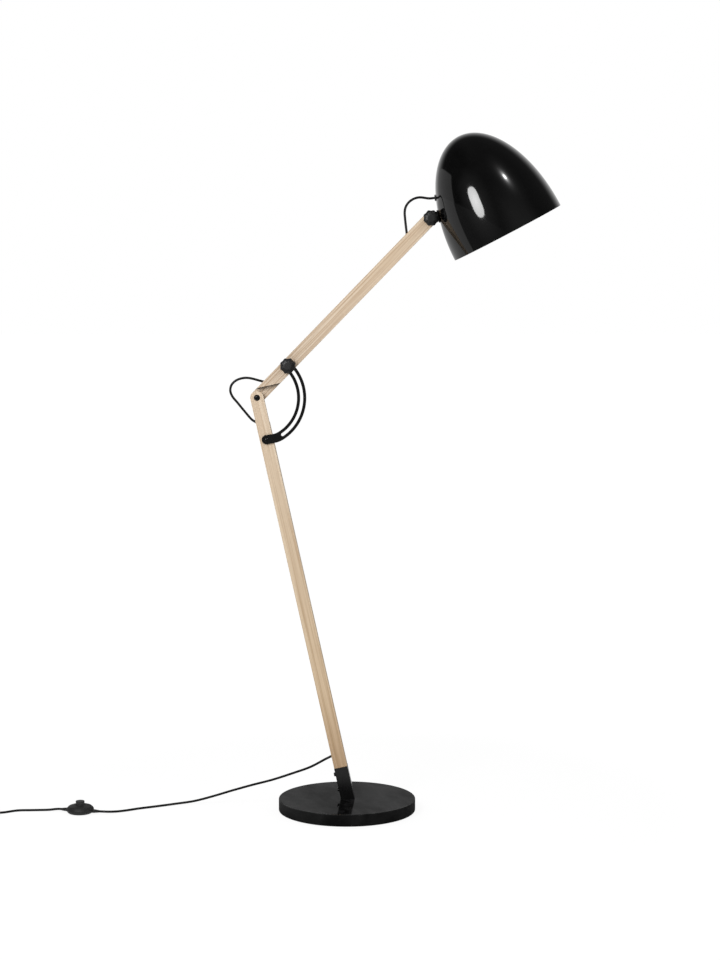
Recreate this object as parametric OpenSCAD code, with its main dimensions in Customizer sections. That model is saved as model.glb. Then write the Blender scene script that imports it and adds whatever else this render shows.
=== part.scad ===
// Floor lamp: a stone base, a leaning wooden post, a folding wooden arm held by a slotted arc plate,
// a tilting spun shade, and a mains cord with a foot switch.
// Millimetres. +Z is up, +X points towards the shade, -Y is the front.
// The origin is on the floor under the centre of the base.

/* [Base] */
// Diameter of the stone disc
base_d = 300; // [240:5:360]
// Height of the base with its felt
base_h = 28; // [24:1:40]
// Thickness of the felt pad
felt_t = 1.5; // [1:0.5:3]
// How far the felt stays inside the disc's edge
felt_inset = 8; // [4:1:20]
// Rounding of the disc's two edges
base_edge = 2; // [1:0.5:4]
// Diameter of the bolt that holds the socket on the base
base_bolt_d = 8; // [6:1:10]

/* [Post] */
// Width and depth of the wooden bars
wood_w = 29; // [26:1:34]
// Backward lean of the post from upright, in degrees
lean = 12.5; // [6:0.5:18]
// Post axis where it meets the base, to the right of the base's centre
foot_x = 2; // [0:1:6]
// Length along the post from the base to the elbow bolt
post_len = 903; // [700:1:1100]
// Length of the steel socket along the post
socket_len = 72; // [60:1:90]
// Wall of the steel socket
socket_wall = 2; // [1.5:0.5:3]
// Easing of the socket's long corners
socket_edge = 1; // [0.5:0.5:1.5]
// How far the socket stands proud of the wood on each side
socket_proud = 0.5; // [0:0.5:1.5]
// Thickness of the plate that closes the foot of the socket
socket_floor = 8; // [6:1:12]

/* [Elbow] */
// Angle between the post and the arm in the stored pose, in degrees
bend = 56.7; // [45:0.1:65]
// How far the arm folds down from the stored pose, in degrees
fold_max = 90; // [70:5:90]
// Space between the round end of a tongue and the other bar's shoulder
lap_space = 5.5; // [4:0.5:8]
// Gap between the two tongues of the half-lap
lap_gap = 0.6; // [0.4:0.1:1]
// Diameter of the elbow bolt
elbow_bolt_d = 6; // [5:1:8]
// Diameter of the elbow bolt's head
bolt_head_d = 13.8; // [11:0.2:16]
// Radius from the elbow bolt to the middle of the arc plate
arc_r = 96.5; // [86:0.5:110]
// Distance from the elbow bolt to the screw at the arc plate's foot
arc_foot_r = 92.5; // [88:0.5:100]
// Width of the arc plate
arc_w = 20; // [18:1:24]
// Thickness of the arc plate
arc_t = 3; // [2:0.5:4]
// Angle that the slot covers, in degrees
slot_sweep = 101; // [92:1:104]

/* [Arm] */
// Length from the elbow bolt to the head's pivot
arm_len = 536; // [420:1:700]
// Diameter of the two clamp bolts
clamp_bolt_d = 6; // [5:1:6]
// Diameter of the clamp knobs
knob_d = 34.5; // [28:0.5:36]
// Depth of the clamp knobs
knob_h = 14; // [10:1:20]
// Number of lobes round a knob
knob_lobes = 8; // [7:1:10]

/* [Shade] */
// Outer radius at the rim
shade_r = 127; // [110:1:140]
// Height from the rim to the crown
shade_h = 230.5; // [200:0.5:260]
// Thickness of the metal
shade_wall = 1; // [0.8:0.1:1.5]
// Lean of the shade's axis to the left of upright, in degrees
shade_lean = 27.7; // [10:0.1:40]
// Height of the bracket's seat above the rim
seat_h = 99.6; // [90:0.1:110]
// Distance from the shade's wall to the head's pivot
seat_reach = 17.4; // [17:0.1:19]
// Thickness of the bracket's tongue
tongue_t = 8; // [6:0.5:10]
// Width of the bracket's tongue
tongue_w = 22; // [20:1:24]
// Height of the cord's grommet above the rim
grommet_h = 137.5; // [130:0.5:150]

/* [Lamp holder] */
// Height of the holder's strap above the rim
strap_h = 178; // [170:1:185]
// Width of the holder's strap
strap_w = 20; // [16:1:24]
// Thickness of the holder's strap
strap_t = 2.5; // [2:0.5:3]
// Outer diameter of the lamp holder
holder_d = 40; // [36:1:44]
// Diameter of the bulb's globe
bulb_d = 60; // [45:1:65]

/* [Cord] */
// Diameter of the round mains cord
cord_d = 5.2; // [4.8:0.1:5.6]
// Height along the post of the hole where the floor cord comes out
cord_low = 98.5; // [95:0.5:110]
// Distance below the elbow bolt of the post's upper cord hole
cord_high = 52; // [46:1:60]
// Distance along the arm of its lower cord hole
arm_cord_low = 33.5; // [32:0.5:40]
// Distance before the head's pivot of the arm's upper cord hole
arm_cord_high = 59; // [52:1:70]

/* [Foot switch] */
// Outer diameter of the switch
switch_d = 60; // [54:1:66]
// Height of the housing without its button
switch_h = 19.5; // [19:0.5:24]
// Diameter of the button
button_d = 19.6; // [18:0.2:22]
// Height of the button's top above the floor
button_top = 27.5; // [27.5:0.5:31]
// Travel of the button
button_travel = 4; // [2:0.5:5]

/* [Plug] */
// Width of the flat plug
plug_w = 35; // [32:1:37]
// Thickness of the flat plug
plug_t = 13.6; // [13:0.2:15]
// Length of the plug's body
plug_len = 36; // [32:1:40]

/* [Hidden] */
$fn = 72;
// Face clearance between pieces that are clamped together and still move
slide = 0.1;
// Radial clearance of a shaft in the piece that turns on it
running = 0.05;
// Radial clearance of a fixed screw or bolt in its hole
fixed = 0.1;
// Clearance between a cord and its bore
cord_play = 0.4;
// Longer than any cut needs
far = 200;

half = wood_w / 2;
base_bottom = felt_t;
washer_t = 1.2;

// Elbow and arm
lap_reach = half + lap_space;
arm_turn = bend - lean;
clamp_r = clamp_bolt_d / 2;
spacer_t = 1;
arc_back = -half - spacer_t;
arc_front = arc_back - arc_t;
slot_w = clamp_bolt_d + 0.3;
stored_at = 90 - bend;
knob_hub_h = 4;
dome_h = 3;
dome_d = 2.6 * clamp_bolt_d;

// Head: the wall's slope at the bracket's seat and at the grommet
shade_in_r = shade_r - shade_wall;
shade_in_h = shade_h - shade_wall;
function wall_r(h) = shade_r * sqrt(1 - pow(h / shade_h, 2));
function wall_slope(h) = atan((h / pow(shade_h, 2)) / (wall_r(h) / pow(shade_r, 2)));
seat_r = wall_r(seat_h);
seat_slope = wall_slope(seat_h);
pivot_r = seat_r + seat_reach * cos(seat_slope);
pivot_h = seat_h + seat_reach * sin(seat_slope);
grommet_r = wall_r(grommet_h);
grommet_slope = wall_slope(grommet_h);
seat_gap = 0.1;
pad_w = 16;
pad_l = 27;
pad_clear = 0.7;
fork_gap = 0.2;
tongue_clear = 1.5;
seat_screw_d = 4;
seat_screw_step = 14;
// The flat strap stands off the hollow wall by the wall's sag across the strap
strap_off = shade_wall + pow(strap_w, 2) / (8 * (seat_r - shade_wall)) + 0.5;

// Lamp holder and bulb, measured down from the strap
holder_top = strap_h - strap_t;
holder_r = holder_d / 2;
cap_len = 24;
sleeve_len = 34;
sleeve_end = holder_top - cap_len - sleeve_len;
nipple_r = 5;
nipple_up = 6;
nipple_down = 12;
bulb_r = bulb_d / 2;
bulb_neck_r = 13.2;
bulb_neck_len = 6;
bulb_long = 0.8 * bulb_d;
glass_t = 1;

// Grommet
grommet_neck_r = cord_d / 2 + 2;
grommet_flange_r = grommet_neck_r + 2.4;
grommet_lip = 2.2;
grommet_play = 0.3;
grommet_out = grommet_lip + grommet_play;

// Cord bores run to the left of the bars' axes, clear of the clamp bolt
cord_r = cord_d / 2;
bore_r = cord_r + cord_play;
bore_x = -(clamp_r + bore_r + 0.9);
bore_over = 2.5;
bore_bevel = 1.5;
exit_out = 4;
cord_meet = 0.3;
exit_low_tilt = -14;
exit_high_tilt = 45;
exit_arm_low_tilt = 29;
exit_arm_high_tilt = 39;

// Foot switch
switch_x = -584;
switch_y = -26;
switch_turn = -13;
switch_r = switch_d / 2;
switch_wall = 2;
seam_z = 8.5;
switch_cord_z = 6.1;
button_r = button_d / 2;
button_play = 0.3;
button_flange = 1.8;
button_flange_t = 1.6;
collar_t = 1.2;
collar_h = 1.5;
relief_len = 20;
relief_inside = 8;

// Coil of the length that is put away
coil_x = -826;
coil_turns = 3;
coil_step = cord_d + 0.9;
coil_layer = cord_d + 0.55;
coil_in_r = 4 * cord_d;
coil_low = cord_r + 0.9;
coil_out_r = coil_in_r + coil_turns * coil_step;
coil_y = coil_out_r - 38;
coil_rings = 24;
tie_t = 0.6;
tie_w = 9;
tie_gap = 0.25;
tie_play = 0.85;

// Plug
plug_z = plug_t / 2;
plug_relief = 26;
pin_d = 4.8;
pin_step = 18.6;
pin_len = 19;

// Turns a point of the post's frame or of the arm's frame into the lamp's frame
function on_post(x, y, z) = [foot_x + x * cos(lean) - z * sin(lean), y,
                             base_h + x * sin(lean) + z * cos(lean)];
elbow = on_post(0, 0, post_len);
function on_arm(x, y, z) = elbow + [x * cos(arm_turn) + z * sin(arm_turn), y,
                                    -x * sin(arm_turn) + z * cos(arm_turn)];
head = on_arm(0, 0, arm_len);
function on_shade(x, y, z) = head + [(x + pivot_r) * cos(shade_lean) - (z - pivot_h) * sin(shade_lean), y,
                                     (x + pivot_r) * sin(shade_lean) + (z - pivot_h) * cos(shade_lean)];

// A point beside the wall of the shade: along is up the wall, out is away from it
function by_wall(r, h, slope, along, out) = [-r + along * sin(slope) - out * cos(slope),
                                             h + along * cos(slope) + out * sin(slope)];

// The cord's way through a bar, in the bar's frame, with a small bevel where the holes meet
function corner(z, tilt) = z - (half + bore_x) * tan(tilt);
function side_exit(z, tilt, out) = [-half - out * cos(tilt), z + out * sin(tilt)];
function side_path(z0, tilt0, z1, tilt1) = let (low = corner(z0, tilt0), high = corner(z1, tilt1))
    [side_exit(z0, tilt0, exit_out), side_exit(low, tilt0, bore_bevel) + [half + bore_x, 0],
     [bore_x, low + bore_bevel], [bore_x, high - bore_bevel],
     side_exit(high, tilt1, bore_bevel) + [half + bore_x, 0], side_exit(z1, tilt1, exit_out)];

// Cord routes. Points between the exits are chosen by hand, in the frame that carries them
function post_exit(z, tilt, out) = let (p = side_exit(z, tilt, out)) on_post(p[0], 0, p[1]);
function arm_exit(z, tilt, out) = let (p = side_exit(z, tilt, out)) on_arm(p[0], 0, p[1]);
post_high = post_len - cord_high;
arm_high = arm_len - arm_cord_high;
elbow_route = concat(
    [for (out = [exit_out + cord_meet, exit_out + 6]) post_exit(post_high, exit_high_tilt, out)],
    [for (p = [[-35, -20], [-44, -2], [-52, 14], [-53.5, 26.5], [-48.3, 38], [-36.8, 45.3], [-22, 47.3], [-8, 44.6]])
        on_post(p[0], 0, post_len + p[1])],
    [for (out = [exit_out + 5, exit_out + cord_meet]) arm_exit(arm_cord_low, -exit_arm_low_tilt, out)]);
grommet_end = [for (out = [14, grommet_out + cord_meet])
    let (p = by_wall(grommet_r, grommet_h, grommet_slope, 0, out)) on_shade(p[0], 0, p[1])];
head_route = concat(
    [for (out = [exit_out + cord_meet, exit_out + 7]) arm_exit(arm_high, exit_arm_high_tilt, out)],
    [for (p = [[-39, -39], [-48, -31], [-54, -23], [-57, -14], [-57, -4], [-54, 6], [-48, 15]])
        on_arm(p[0], 0, arm_len + p[1])],
    grommet_end);
function by_switch(side, out) = [switch_x + side * out * cos(switch_turn),
                                 switch_y + side * out * sin(switch_turn), switch_cord_z];
relief_end = switch_r - relief_inside + relief_len;
floor_route = concat(
    [for (out = [exit_out + cord_meet, exit_out + 12]) post_exit(cord_low, exit_low_tilt, out)],
    [[-80, 4, 95.8], [-120, 12, 79.5], [-165, 24, 62], [-210, 38, 47], [-255, 50, 31.5], [-300, 56, 16.5],
     [-340, 54, 6.5], [-380, 42, 3.4], [-420, 22, 2.8], [-460, 1, 2.8], [-485, -15.5, 2.9],
     [-502, -26.5, 3.6], [-519, -34.8, 5]], [for (out = [relief_end + 8, relief_end + cord_meet]) by_switch(1, out)]);
coil_start = [coil_x, coil_y - coil_out_r, coil_low];
switch_route = concat(
    [for (out = [relief_end + cord_meet, relief_end + 9]) by_switch(-1, out)],
    [[-655, -11.5, 3.4], [-690, -12.5, 2.8], [-723, -15.5, 2.8], [-752, -33.5, 3], [-775, -38, 3.3]],
    [for (out = [2, 1]) coil_start + [out * 3 * cord_d + cord_meet, 0, 0]]);
coil_end = coil_start + [0, 0, coil_layer];
plug_end = [coil_x - 80, coil_start[1], plug_z];
tail_route = [coil_end - [cord_d, 0, 0], coil_end - [20, 0, 0], coil_end - [45, 0, 2],
              plug_end + [15, 0, 0], plug_end];
over_nipple = strap_h + nipple_up;
loop_room = shade_in_h - over_nipple;
loop_rise = over_nipple + 0.46 * loop_room - grommet_h;
shade_route = concat(
    [for (out = [grommet_out, -4]) by_wall(grommet_r, grommet_h, grommet_slope, 0, out)],
    [for (p = [[0.893, -0.037], [0.785, 0.096], [0.677, 0.333], [0.559, 0.615], [0.412, 0.852], [0.245, 1]])
        [-p[0] * grommet_r, grommet_h + p[1] * loop_rise]],
    [for (p = [[0.098, 0.42], [0.015, 0.24], [0, 0.044]])
        [-p[0] * grommet_r, over_nipple + p[1] * loop_room]], [[0, strap_h - strap_t]]);

// Smooth curve through hand-chosen points, evenly paced, with parts steps between neighbours
function pace(a, b) = sqrt(norm(b - a));
function between(a, b, c, d, t) = let (ab = pace(a, b), bc = pace(b, c), cd = pace(c, d),
    m = ab > 0 ? c - b + bc * ((b - a) / ab - (c - a) / (ab + bc)) : c - b,
    n = cd > 0 ? c - b + bc * ((d - c) / cd - (d - b) / (bc + cd)) : c - b)
    b + t * m + t * t * (3 * (c - b) - 2 * m - n) + t * t * t * (2 * (b - c) + m + n);
function smooth(p, parts) = let (n = len(p) - 1) concat(
    [for (i = [0 : n - 1]) for (k = [0 : parts - 1])
        between(p[max(i - 1, 0)], p[i], p[i + 1], p[min(i + 2, n)], k / parts)], [p[n]]);

// Solid tube along points, as one closed skin of triangles
function unit(v) = v / norm(v);
function heading(p, i) = unit(p[min(i + 1, len(p) - 1)] - p[max(i - 1, 0)]);
function carried(p, side, i = 0) = i == len(p) ? [] :
    let (t = heading(p, i), s = unit(side - (side * t) * t)) concat([s], carried(p, s, i + 1));
module tube(points, radius, sides) {
    n = len(points);
    first = heading(points, 0);
    across = carried(points, abs(first[1]) < 0.9 ? [0, 1, 0] : [0, 0, 1]);
    skin = [for (i = [0 : n - 1]) for (k = [0 : sides - 1])
        let (t = heading(points, i), a = 360 * k / sides)
        points[i] + radius * (cos(a) * across[i] + sin(a) * cross(t, across[i]))];
    walls = [for (i = [0 : n - 2]) for (k = [0 : sides - 1])
        let (a = i * sides + k, b = i * sides + (k + 1) % sides)
        each [[a, a + sides, b], [b, a + sides, b + sides]]];
    caps = [for (k = [1 : sides - 2])
        each [[0, k, k + 1], [for (j = [0, k + 1, k]) (n - 1) * sides + j]]];
    polyhedron(skin, concat(walls, caps));
}

// Coil in two layers: in along the floor, up where it turns back, and out again on top
function coil_point(t) = let (a = abs(t), r = coil_in_r + coil_step * a, up = min(max(0.5 + 2 * t, 0), 1))
    [coil_x - r * sin(360 * t), coil_y - r * cos(360 * t),
     coil_low + coil_layer * (3 - 2 * up) * up * up];
coil_turning = [for (k = [-coil_turns * coil_rings : coil_turns * coil_rings]) coil_point(k / coil_rings)];
coil_path = concat([coil_start + [3 * cord_d, 0, 0], coil_start + [cord_d, 0, 0]], coil_turning,
                   [coil_end - [cord_d, 0, 0]]);
coil_gap = min([for (i = [0 : len(coil_turning) - 1]) for (j = [i + coil_rings / 2 : len(coil_turning) - 1])
    norm(coil_turning[i] - coil_turning[j])]) - cord_d;
echo(least_gap_in_coil_mm = coil_gap);

// Local frames: along the post, at the elbow, along the arm, on the shade's axis, and square to its wall
module at_post() { translate([foot_x, 0, base_h]) rotate([0, -lean, 0]) children(); }
module at_elbow() { at_post() translate([0, 0, post_len]) children(); }
module at_arm() { at_elbow() rotate([0, bend, 0]) children(); }
module at_head() { at_arm() translate([0, 0, arm_len]) children(); }
module at_shade() {
    at_head() rotate([0, -arm_turn - shade_lean, 0]) translate([pivot_r, 0, -pivot_h]) children();
}
module at_wall(r, h, slope) {
    at_shade() translate([-r, 0, h]) rotate([0, slope - 90, 0]) children();
}
module at_seat() { at_wall(seat_r, seat_h, seat_slope) children(); }
module at_grommet() { at_wall(grommet_r, grommet_h, grommet_slope) children(); }
module at_switch() { translate([switch_x, switch_y, 0]) rotate([0, 0, switch_turn]) children(); }

// Round bar and flat plate that run from front to back
module through(r, y0, y1) { translate([0, y1, 0]) rotate([90, 0, 0]) cylinder(r = r, h = y1 - y0); }
module flat(y0, y1) { translate([0, y1, 0]) rotate([90, 0, 0]) linear_extrude(y1 - y0) children(); }
module ring(r, hole, y0, y1) {
    difference() {
        through(r, y0, y1);
        through(hole, y0 - 1, y1 + 1);
    }
}

// Round cap of a bolt or screw, flat side at z = 0
module cap(r, h) {
    ball = (r * r + h * h) / (2 * h);
    intersection() {
        translate([0, 0, h - ball]) sphere(ball);
        cylinder(r = r, h = h);
    }
}

// Pan head of a screw, on z = 0
module pan(r, h) {
    rotate_extrude() polygon([[0, 0], [r, 0], [r, 0.6 * h], [0.94 * r, 0.86 * h], [0.8 * r, h], [0, h]]);
}

// Square bar with eased corners, from below the base up to a height along the post
module tube_bar(w, top) {
    translate([0, 0, -w]) linear_extrude(w + top) polygon([for (q = [0 : 3]) for (s = [-1, 1])
        let (h = w / 2, a = q * 90, p = s < 0 ? [h, -h + socket_edge] : [h, h - socket_edge])
        [p[0] * cos(a) - p[1] * sin(a), p[0] * sin(a) + p[1] * cos(a)]]);
}

// Wooden bar along Z with a round upper end, and a round lower end too where it is asked for
module wood_bar(z0, z1, both) {
    flat(-half, half) polygon(concat(
        both ? [for (a = [180 : 6 : 360]) [half * cos(a), z0 + half * sin(a)]] : [[-half, z0], [half, z0]],
        [for (a = [0 : 6 : 180]) [half * cos(a), z1 + half * sin(a)]]));
}

// Holes for the cord: one along the bar beside its axis, and one out through its left side at each end
module side_bores(z0, tilt0, z1, tilt1) {
    low = corner(z0, tilt0);
    high = corner(z1, tilt1);
    translate([bore_x, 0, low - bore_over]) cylinder(r = bore_r, h = high - low + 2 * bore_over);
    for (e = [[low, tilt0], [high, tilt1]])
        translate([bore_x, 0, e[0]]) rotate([0, e[1] - 90, 0]) translate([0, 0, -bore_over])
            cylinder(r = bore_r + 0.2, h = bore_over + half / cos(e[1]) + 4);
}

// Disc with rounded edges, standing on z = 0
module round_disc(d, h, edge) {
    rotate_extrude() polygon(concat([[0, 0]],
        [for (a = [-90 : 15 : 0]) [d / 2 - edge + edge * cos(a), edge + edge * sin(a)]],
        [for (a = [0 : 15 : 90]) [d / 2 - edge + edge * cos(a), h - edge + edge * sin(a)]], [[0, h]]));
}

// Scalloped clamp knob, its hub on z = 0 and its crowned face up
module knob() {
    scallop_r = 0.5 * PI * knob_d / knob_lobes / 1.5;
    difference() {
        union() {
            cylinder(d = 0.5 * knob_d, h = knob_hub_h + 1);
            translate([0, 0, knob_hub_h]) intersection() {
                round_disc(knob_d, knob_h, 2);
                translate([0, 0, knob_h - 2.2 * knob_d]) sphere(2.2 * knob_d, $fn = 120);
            }
        }
        for (k = [0 : knob_lobes - 1])
            rotate([0, 0, 360 * k / knob_lobes]) translate([knob_d / 2 + 0.62 * scallop_r, 0, knob_hub_h - 1])
                cylinder(r = scallop_r, h = knob_h + 2);
        translate([0, 0, -1]) cylinder(r = clamp_r + running, h = knob_hub_h + 0.6 * knob_h + 1);
    }
}

// Base and socket
module socket_hole(r) { translate([foot_x, 0, 0]) cylinder(r = r, h = base_h + socket_floor); }
bolt_r = base_bolt_d / 2;
bolt_seat = base_bottom + 1.1 * base_bolt_d;
socket_w = wood_w + 2 * socket_proud;
tenon_w = socket_w - 2 * socket_wall - 2 * fixed;
tenon_z = (socket_floor + tenon_w / 2 * sin(lean)) / cos(lean) + 0.5;
screw_r = 1.9;
screw_head_r = 4.3;
screw_head_h = 3.8;
screw_len = 16;
screw_rows = [0.307 * socket_len, 0.787 * socket_len];

module marble_base() {
    color([0.1, 0.1, 0.1]) difference() {
        translate([0, 0, base_bottom]) round_disc(base_d, base_h - base_bottom, base_edge);
        socket_hole(bolt_r + fixed);
        translate([foot_x, 0, base_bottom - 1])
            cylinder(r = 1.6 * base_bolt_d, h = bolt_seat - base_bottom + 1);
    }
}

module base_felt() {
    color([0.16, 0.16, 0.17]) cylinder(d = base_d - 2 * felt_inset, h = felt_t);
}

module base_bolt() {
    color("silver") translate([foot_x, 0, bolt_seat - washer_t]) {
        translate([0, 0, -0.65 * base_bolt_d])
            cylinder(r = 0.92 * base_bolt_d, h = 0.65 * base_bolt_d, $fn = 6);
        cylinder(r = bolt_r, h = base_h + socket_floor - 1 - bolt_seat + washer_t);
    }
}

module base_washer() {
    color("silver") translate([foot_x, 0, bolt_seat - washer_t]) difference() {
        cylinder(r = 1.5 * base_bolt_d, h = washer_t);
        translate([0, 0, -1]) cylinder(r = bolt_r + fixed, h = washer_t + 2);
    }
}

module post_socket() {
    color([0.06, 0.06, 0.06]) difference() {
        intersection() {
            at_post() tube_bar(socket_w, socket_len);
            translate([-far, -far, base_h]) cube(2 * far);
        }
        intersection() {
            at_post() translate([0, 0, -socket_w]) linear_extrude(socket_w + socket_len + 1)
                square(socket_w - 2 * socket_wall, center = true);
            translate([-far, -far, base_h + socket_floor]) cube(2 * far);
        }
        socket_hole(bolt_r + fixed);
        at_socket_screws() rotate([0, 90, 0]) cylinder(r = screw_r + fixed, h = socket_wall + 2);
    }
}

module at_socket_screws() {
    for (z = screw_rows) at_post() translate([-socket_w / 2 - 1, 0, z]) children();
}

module socket_screws() {
    color([0.05, 0.05, 0.05]) at_socket_screws() translate([1, 0, 0]) {
        difference() {
            rotate([0, -90, 0]) pan(screw_head_r, screw_head_h);
            translate([-screw_head_h - 1, 0, 0]) rotate([0, 90, 0]) cylinder(r = 1.8, h = 3, $fn = 6);
        }
        translate([-0.2, 0, 0]) rotate([0, 90, 0]) cylinder(r = screw_r, h = screw_len + 0.2);
    }
}

// Post
module post() {
    color([0.84, 0.74, 0.6]) difference() {
        at_post() {
            wood_bar(socket_len, post_len, false);
            translate([-tenon_w / 2, -tenon_w / 2, tenon_z]) cube([tenon_w, tenon_w, socket_len + 1 - tenon_z]);
        }
        at_elbow() rotate([0, bend + fold_max, 0]) translate([-far, -lap_gap / 2, -far])
            cube([far + lap_reach, far, 2 * far]);
        at_elbow() through(elbow_bolt_d / 2 + fixed, -far, far);
        at_elbow() translate([0, 0, -arc_foot_r]) through(arc_screw_r + fixed, -half - 1, arc_screw_tip + 0.5);
        at_socket_screws() rotate([0, 90, 0]) cylinder(r = screw_r + fixed, h = screw_len + 2);
        at_post() side_bores(cord_low, exit_low_tilt, post_high, exit_high_tilt);
    }
}

module cord_in_post() {
    color([0.03, 0.03, 0.03]) tube([for (p = side_path(cord_low, exit_low_tilt, post_high, exit_high_tilt))
        on_post(p[0], 0, p[1])], cord_r, cord_sides);
}

// Arc plate and its screw
arc_screw_r = 2.1;
arc_screw_tip = -half + 11;
arc_head_r = 4.4;
arc_head_h = 2.2;

// Middle of the plate: round the elbow bolt along the slot, then easing in to the foot's screw
foot_from = stored_at - slot_sweep - 4;
function ease(t) = let (s = min(max(t, 0), 1)) s * s * (3 - 2 * s);
function arc_line(a) = arc_r + (arc_foot_r - arc_r) * ease((foot_from - a) / (90 + foot_from));

module arc_band(w, from, sweep, y0, y1) {
    count = ceil(sweep / 3);
    to = from + sweep;
    function on_arc(r, a) = [r * cos(a), r * sin(a)];
    function beside(k, out) = let (a = from + sweep * k / count) on_arc(arc_line(a) + out, a);
    flat(y0, y1) polygon(concat(
        [for (k = [0 : count]) beside(k, w / 2)],
        [for (k = [15 : 15 : 165]) on_arc(arc_line(to), to) + on_arc(w / 2, to + k)],
        [for (k = [count : -1 : 0]) beside(k, -w / 2)],
        [for (k = [165 : -15 : 15]) on_arc(arc_line(from), from) + on_arc(w / 2, from - k)]));
}

module arc_plate() {
    color([0.05, 0.05, 0.05]) at_elbow() difference() {
        arc_band(arc_w, -90, 90 + stored_at, arc_front, arc_back);
        arc_band(slot_w, stored_at - slot_sweep, slot_sweep, arc_front - 1, arc_back + 1);
        translate([0, 0, -arc_foot_r]) through(arc_screw_r + fixed, arc_front - 1, arc_back + 1);
    }
}

module arc_screw() {
    color([0.05, 0.05, 0.05]) at_elbow() translate([0, 0, -arc_foot_r]) {
        difference() {
            translate([0, arc_front, 0]) rotate([90, 0, 0]) cap(arc_head_r, arc_head_h);
            translate([0, arc_front - arc_head_h - 1, 0]) rotate([-90, 0, 0])
                cylinder(r = 1.5, h = 2.2, $fn = 6);
        }
        through(arc_screw_r, arc_front - 0.2, arc_screw_tip);
    }
}

module arc_spacer() {
    color("silver") at_elbow() translate([0, 0, -arc_foot_r])
        ring(0.4 * arc_w, arc_screw_r + fixed, arc_back, -half);
}

// Elbow bolt through both tongues
elbow_r = elbow_bolt_d / 2;
nut_h = 0.8 * elbow_bolt_d;
nut_back = half + slide + washer_t;

module elbow_bolt() {
    color([0.05, 0.05, 0.05]) at_elbow() {
        difference() {
            translate([0, -half, 0]) rotate([90, 0, 0]) cap(bolt_head_d / 2, 0.3 * bolt_head_d);
            translate([0, -half - 0.3 * bolt_head_d - 1, 0]) rotate([-90, 0, 0])
                cylinder(r = 0.17 * bolt_head_d, h = 3, $fn = 6);
        }
        through(elbow_r, -half - 0.2, nut_back + nut_h - 1);
    }
}

module elbow_washer() {
    color([0.9, 0.9, 0.88]) at_elbow()
        ring(half - 1.5, elbow_r + fixed, -lap_gap / 2, lap_gap / 2 - slide);
}

module elbow_back_washer() {
    color("silver") at_elbow() ring(1.3 * elbow_bolt_d, elbow_r + fixed, half + slide, nut_back);
}

module elbow_nut() {
    color([0.05, 0.05, 0.05]) at_elbow() difference() {
        union() {
            translate([0, nut_back + nut_h, 0]) rotate([90, 0, 0])
                cylinder(r = 0.95 * elbow_bolt_d, h = nut_h, $fn = 6);
            translate([0, nut_back + nut_h, 0]) rotate([-90, 0, 0])
                cap(0.75 * elbow_bolt_d, 0.5 * elbow_bolt_d);
        }
        through(elbow_r + fixed, nut_back - 1, nut_back + nut_h - 0.5);
    }
}

// Arm: a half-lap tongue at the elbow and a fork at the head
tongue_r = tongue_w / 2;
fork_depth = tongue_r + tongue_clear;
fork_half = tongue_t / 2 + fork_gap;

module arm() {
    color([0.86, 0.77, 0.64]) difference() {
        at_arm() wood_bar(0, arm_len, true);
        at_elbow() translate([-far, -far, -far]) cube([2 * far, far + lap_gap / 2, far + lap_reach]);
        at_elbow() through(elbow_r + running, -far, far);
        at_arm() translate([0, 0, arc_r]) through(clamp_r + fixed, -far, far);
        at_head() through(clamp_r + fixed, -far, far);
        at_head() translate([-far, -fork_half, -fork_depth]) cube([2 * far, 2 * fork_half, far]);
        at_arm() side_bores(arm_cord_low, -exit_arm_low_tilt, arm_high, exit_arm_high_tilt);
    }
}

module cord_in_arm() {
    color([0.03, 0.03, 0.03])
        tube([for (p = side_path(arm_cord_low, -exit_arm_low_tilt, arm_high, exit_arm_high_tilt))
            on_arm(p[0], 0, p[1])], cord_r, cord_sides);
}

// Clamp bolt with a domed head behind the arm, its threaded end in a knob
module clamp_bolt(front) {
    translate([0, half, 0]) rotate([-90, 0, 0]) cap(dome_d / 2, dome_h);
    through(clamp_r, front, half + 0.2);
}
elbow_knob_y = arc_front - washer_t - 2 * slide;
head_knob_y = -half - washer_t - slide;
bolt_in_knob = knob_hub_h + 0.5 * knob_h;

module elbow_clamp_bolt() {
    color([0.05, 0.05, 0.05]) at_arm() translate([0, 0, arc_r]) clamp_bolt(elbow_knob_y - bolt_in_knob);
}

module elbow_clamp_washers() {
    color("silver") at_arm() translate([0, 0, arc_r]) {
        ring(1.5 * clamp_bolt_d, clamp_r + fixed, arc_back + slide, -half);
        ring(1.6 * clamp_bolt_d, clamp_r + fixed, arc_front - slide - washer_t, arc_front - slide);
    }
}

module elbow_knob() {
    color([0.12, 0.12, 0.12]) at_arm() translate([0, elbow_knob_y, arc_r]) rotate([90, 0, 0]) knob();
}

module head_clamp_bolt() {
    color([0.05, 0.05, 0.05]) at_head() clamp_bolt(head_knob_y - bolt_in_knob);
}

module head_washer() {
    color("silver") at_head() ring(1.6 * clamp_bolt_d, clamp_r + fixed, -half - washer_t, -half);
}

module head_knob() {
    color([0.12, 0.12, 0.12]) at_head() translate([0, head_knob_y, 0]) rotate([90, 0, 0]) knob();
}

// Shade, a half ellipsoid of spun sheet
steps = 28;
function crown(r, h) = [for (k = [0 : steps]) [r * cos(90 * k / steps), h * sin(90 * k / steps)]];
function reversed(p) = [for (i = [len(p) - 1 : -1 : 0]) p[i]];

module solid_crown(r, h) { rotate_extrude() polygon(concat([[0, 0]], crown(r, h))); }
module at_seat_screws() { for (s = [-1, 1]) at_seat() translate([s * seat_screw_step / 2, 0, 0]) children(); }
module seat_holes(z0, z1) {
    at_seat_screws() translate([0, 0, z0]) cylinder(d = seat_screw_d + 2 * fixed, h = z1 - z0);
}

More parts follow.
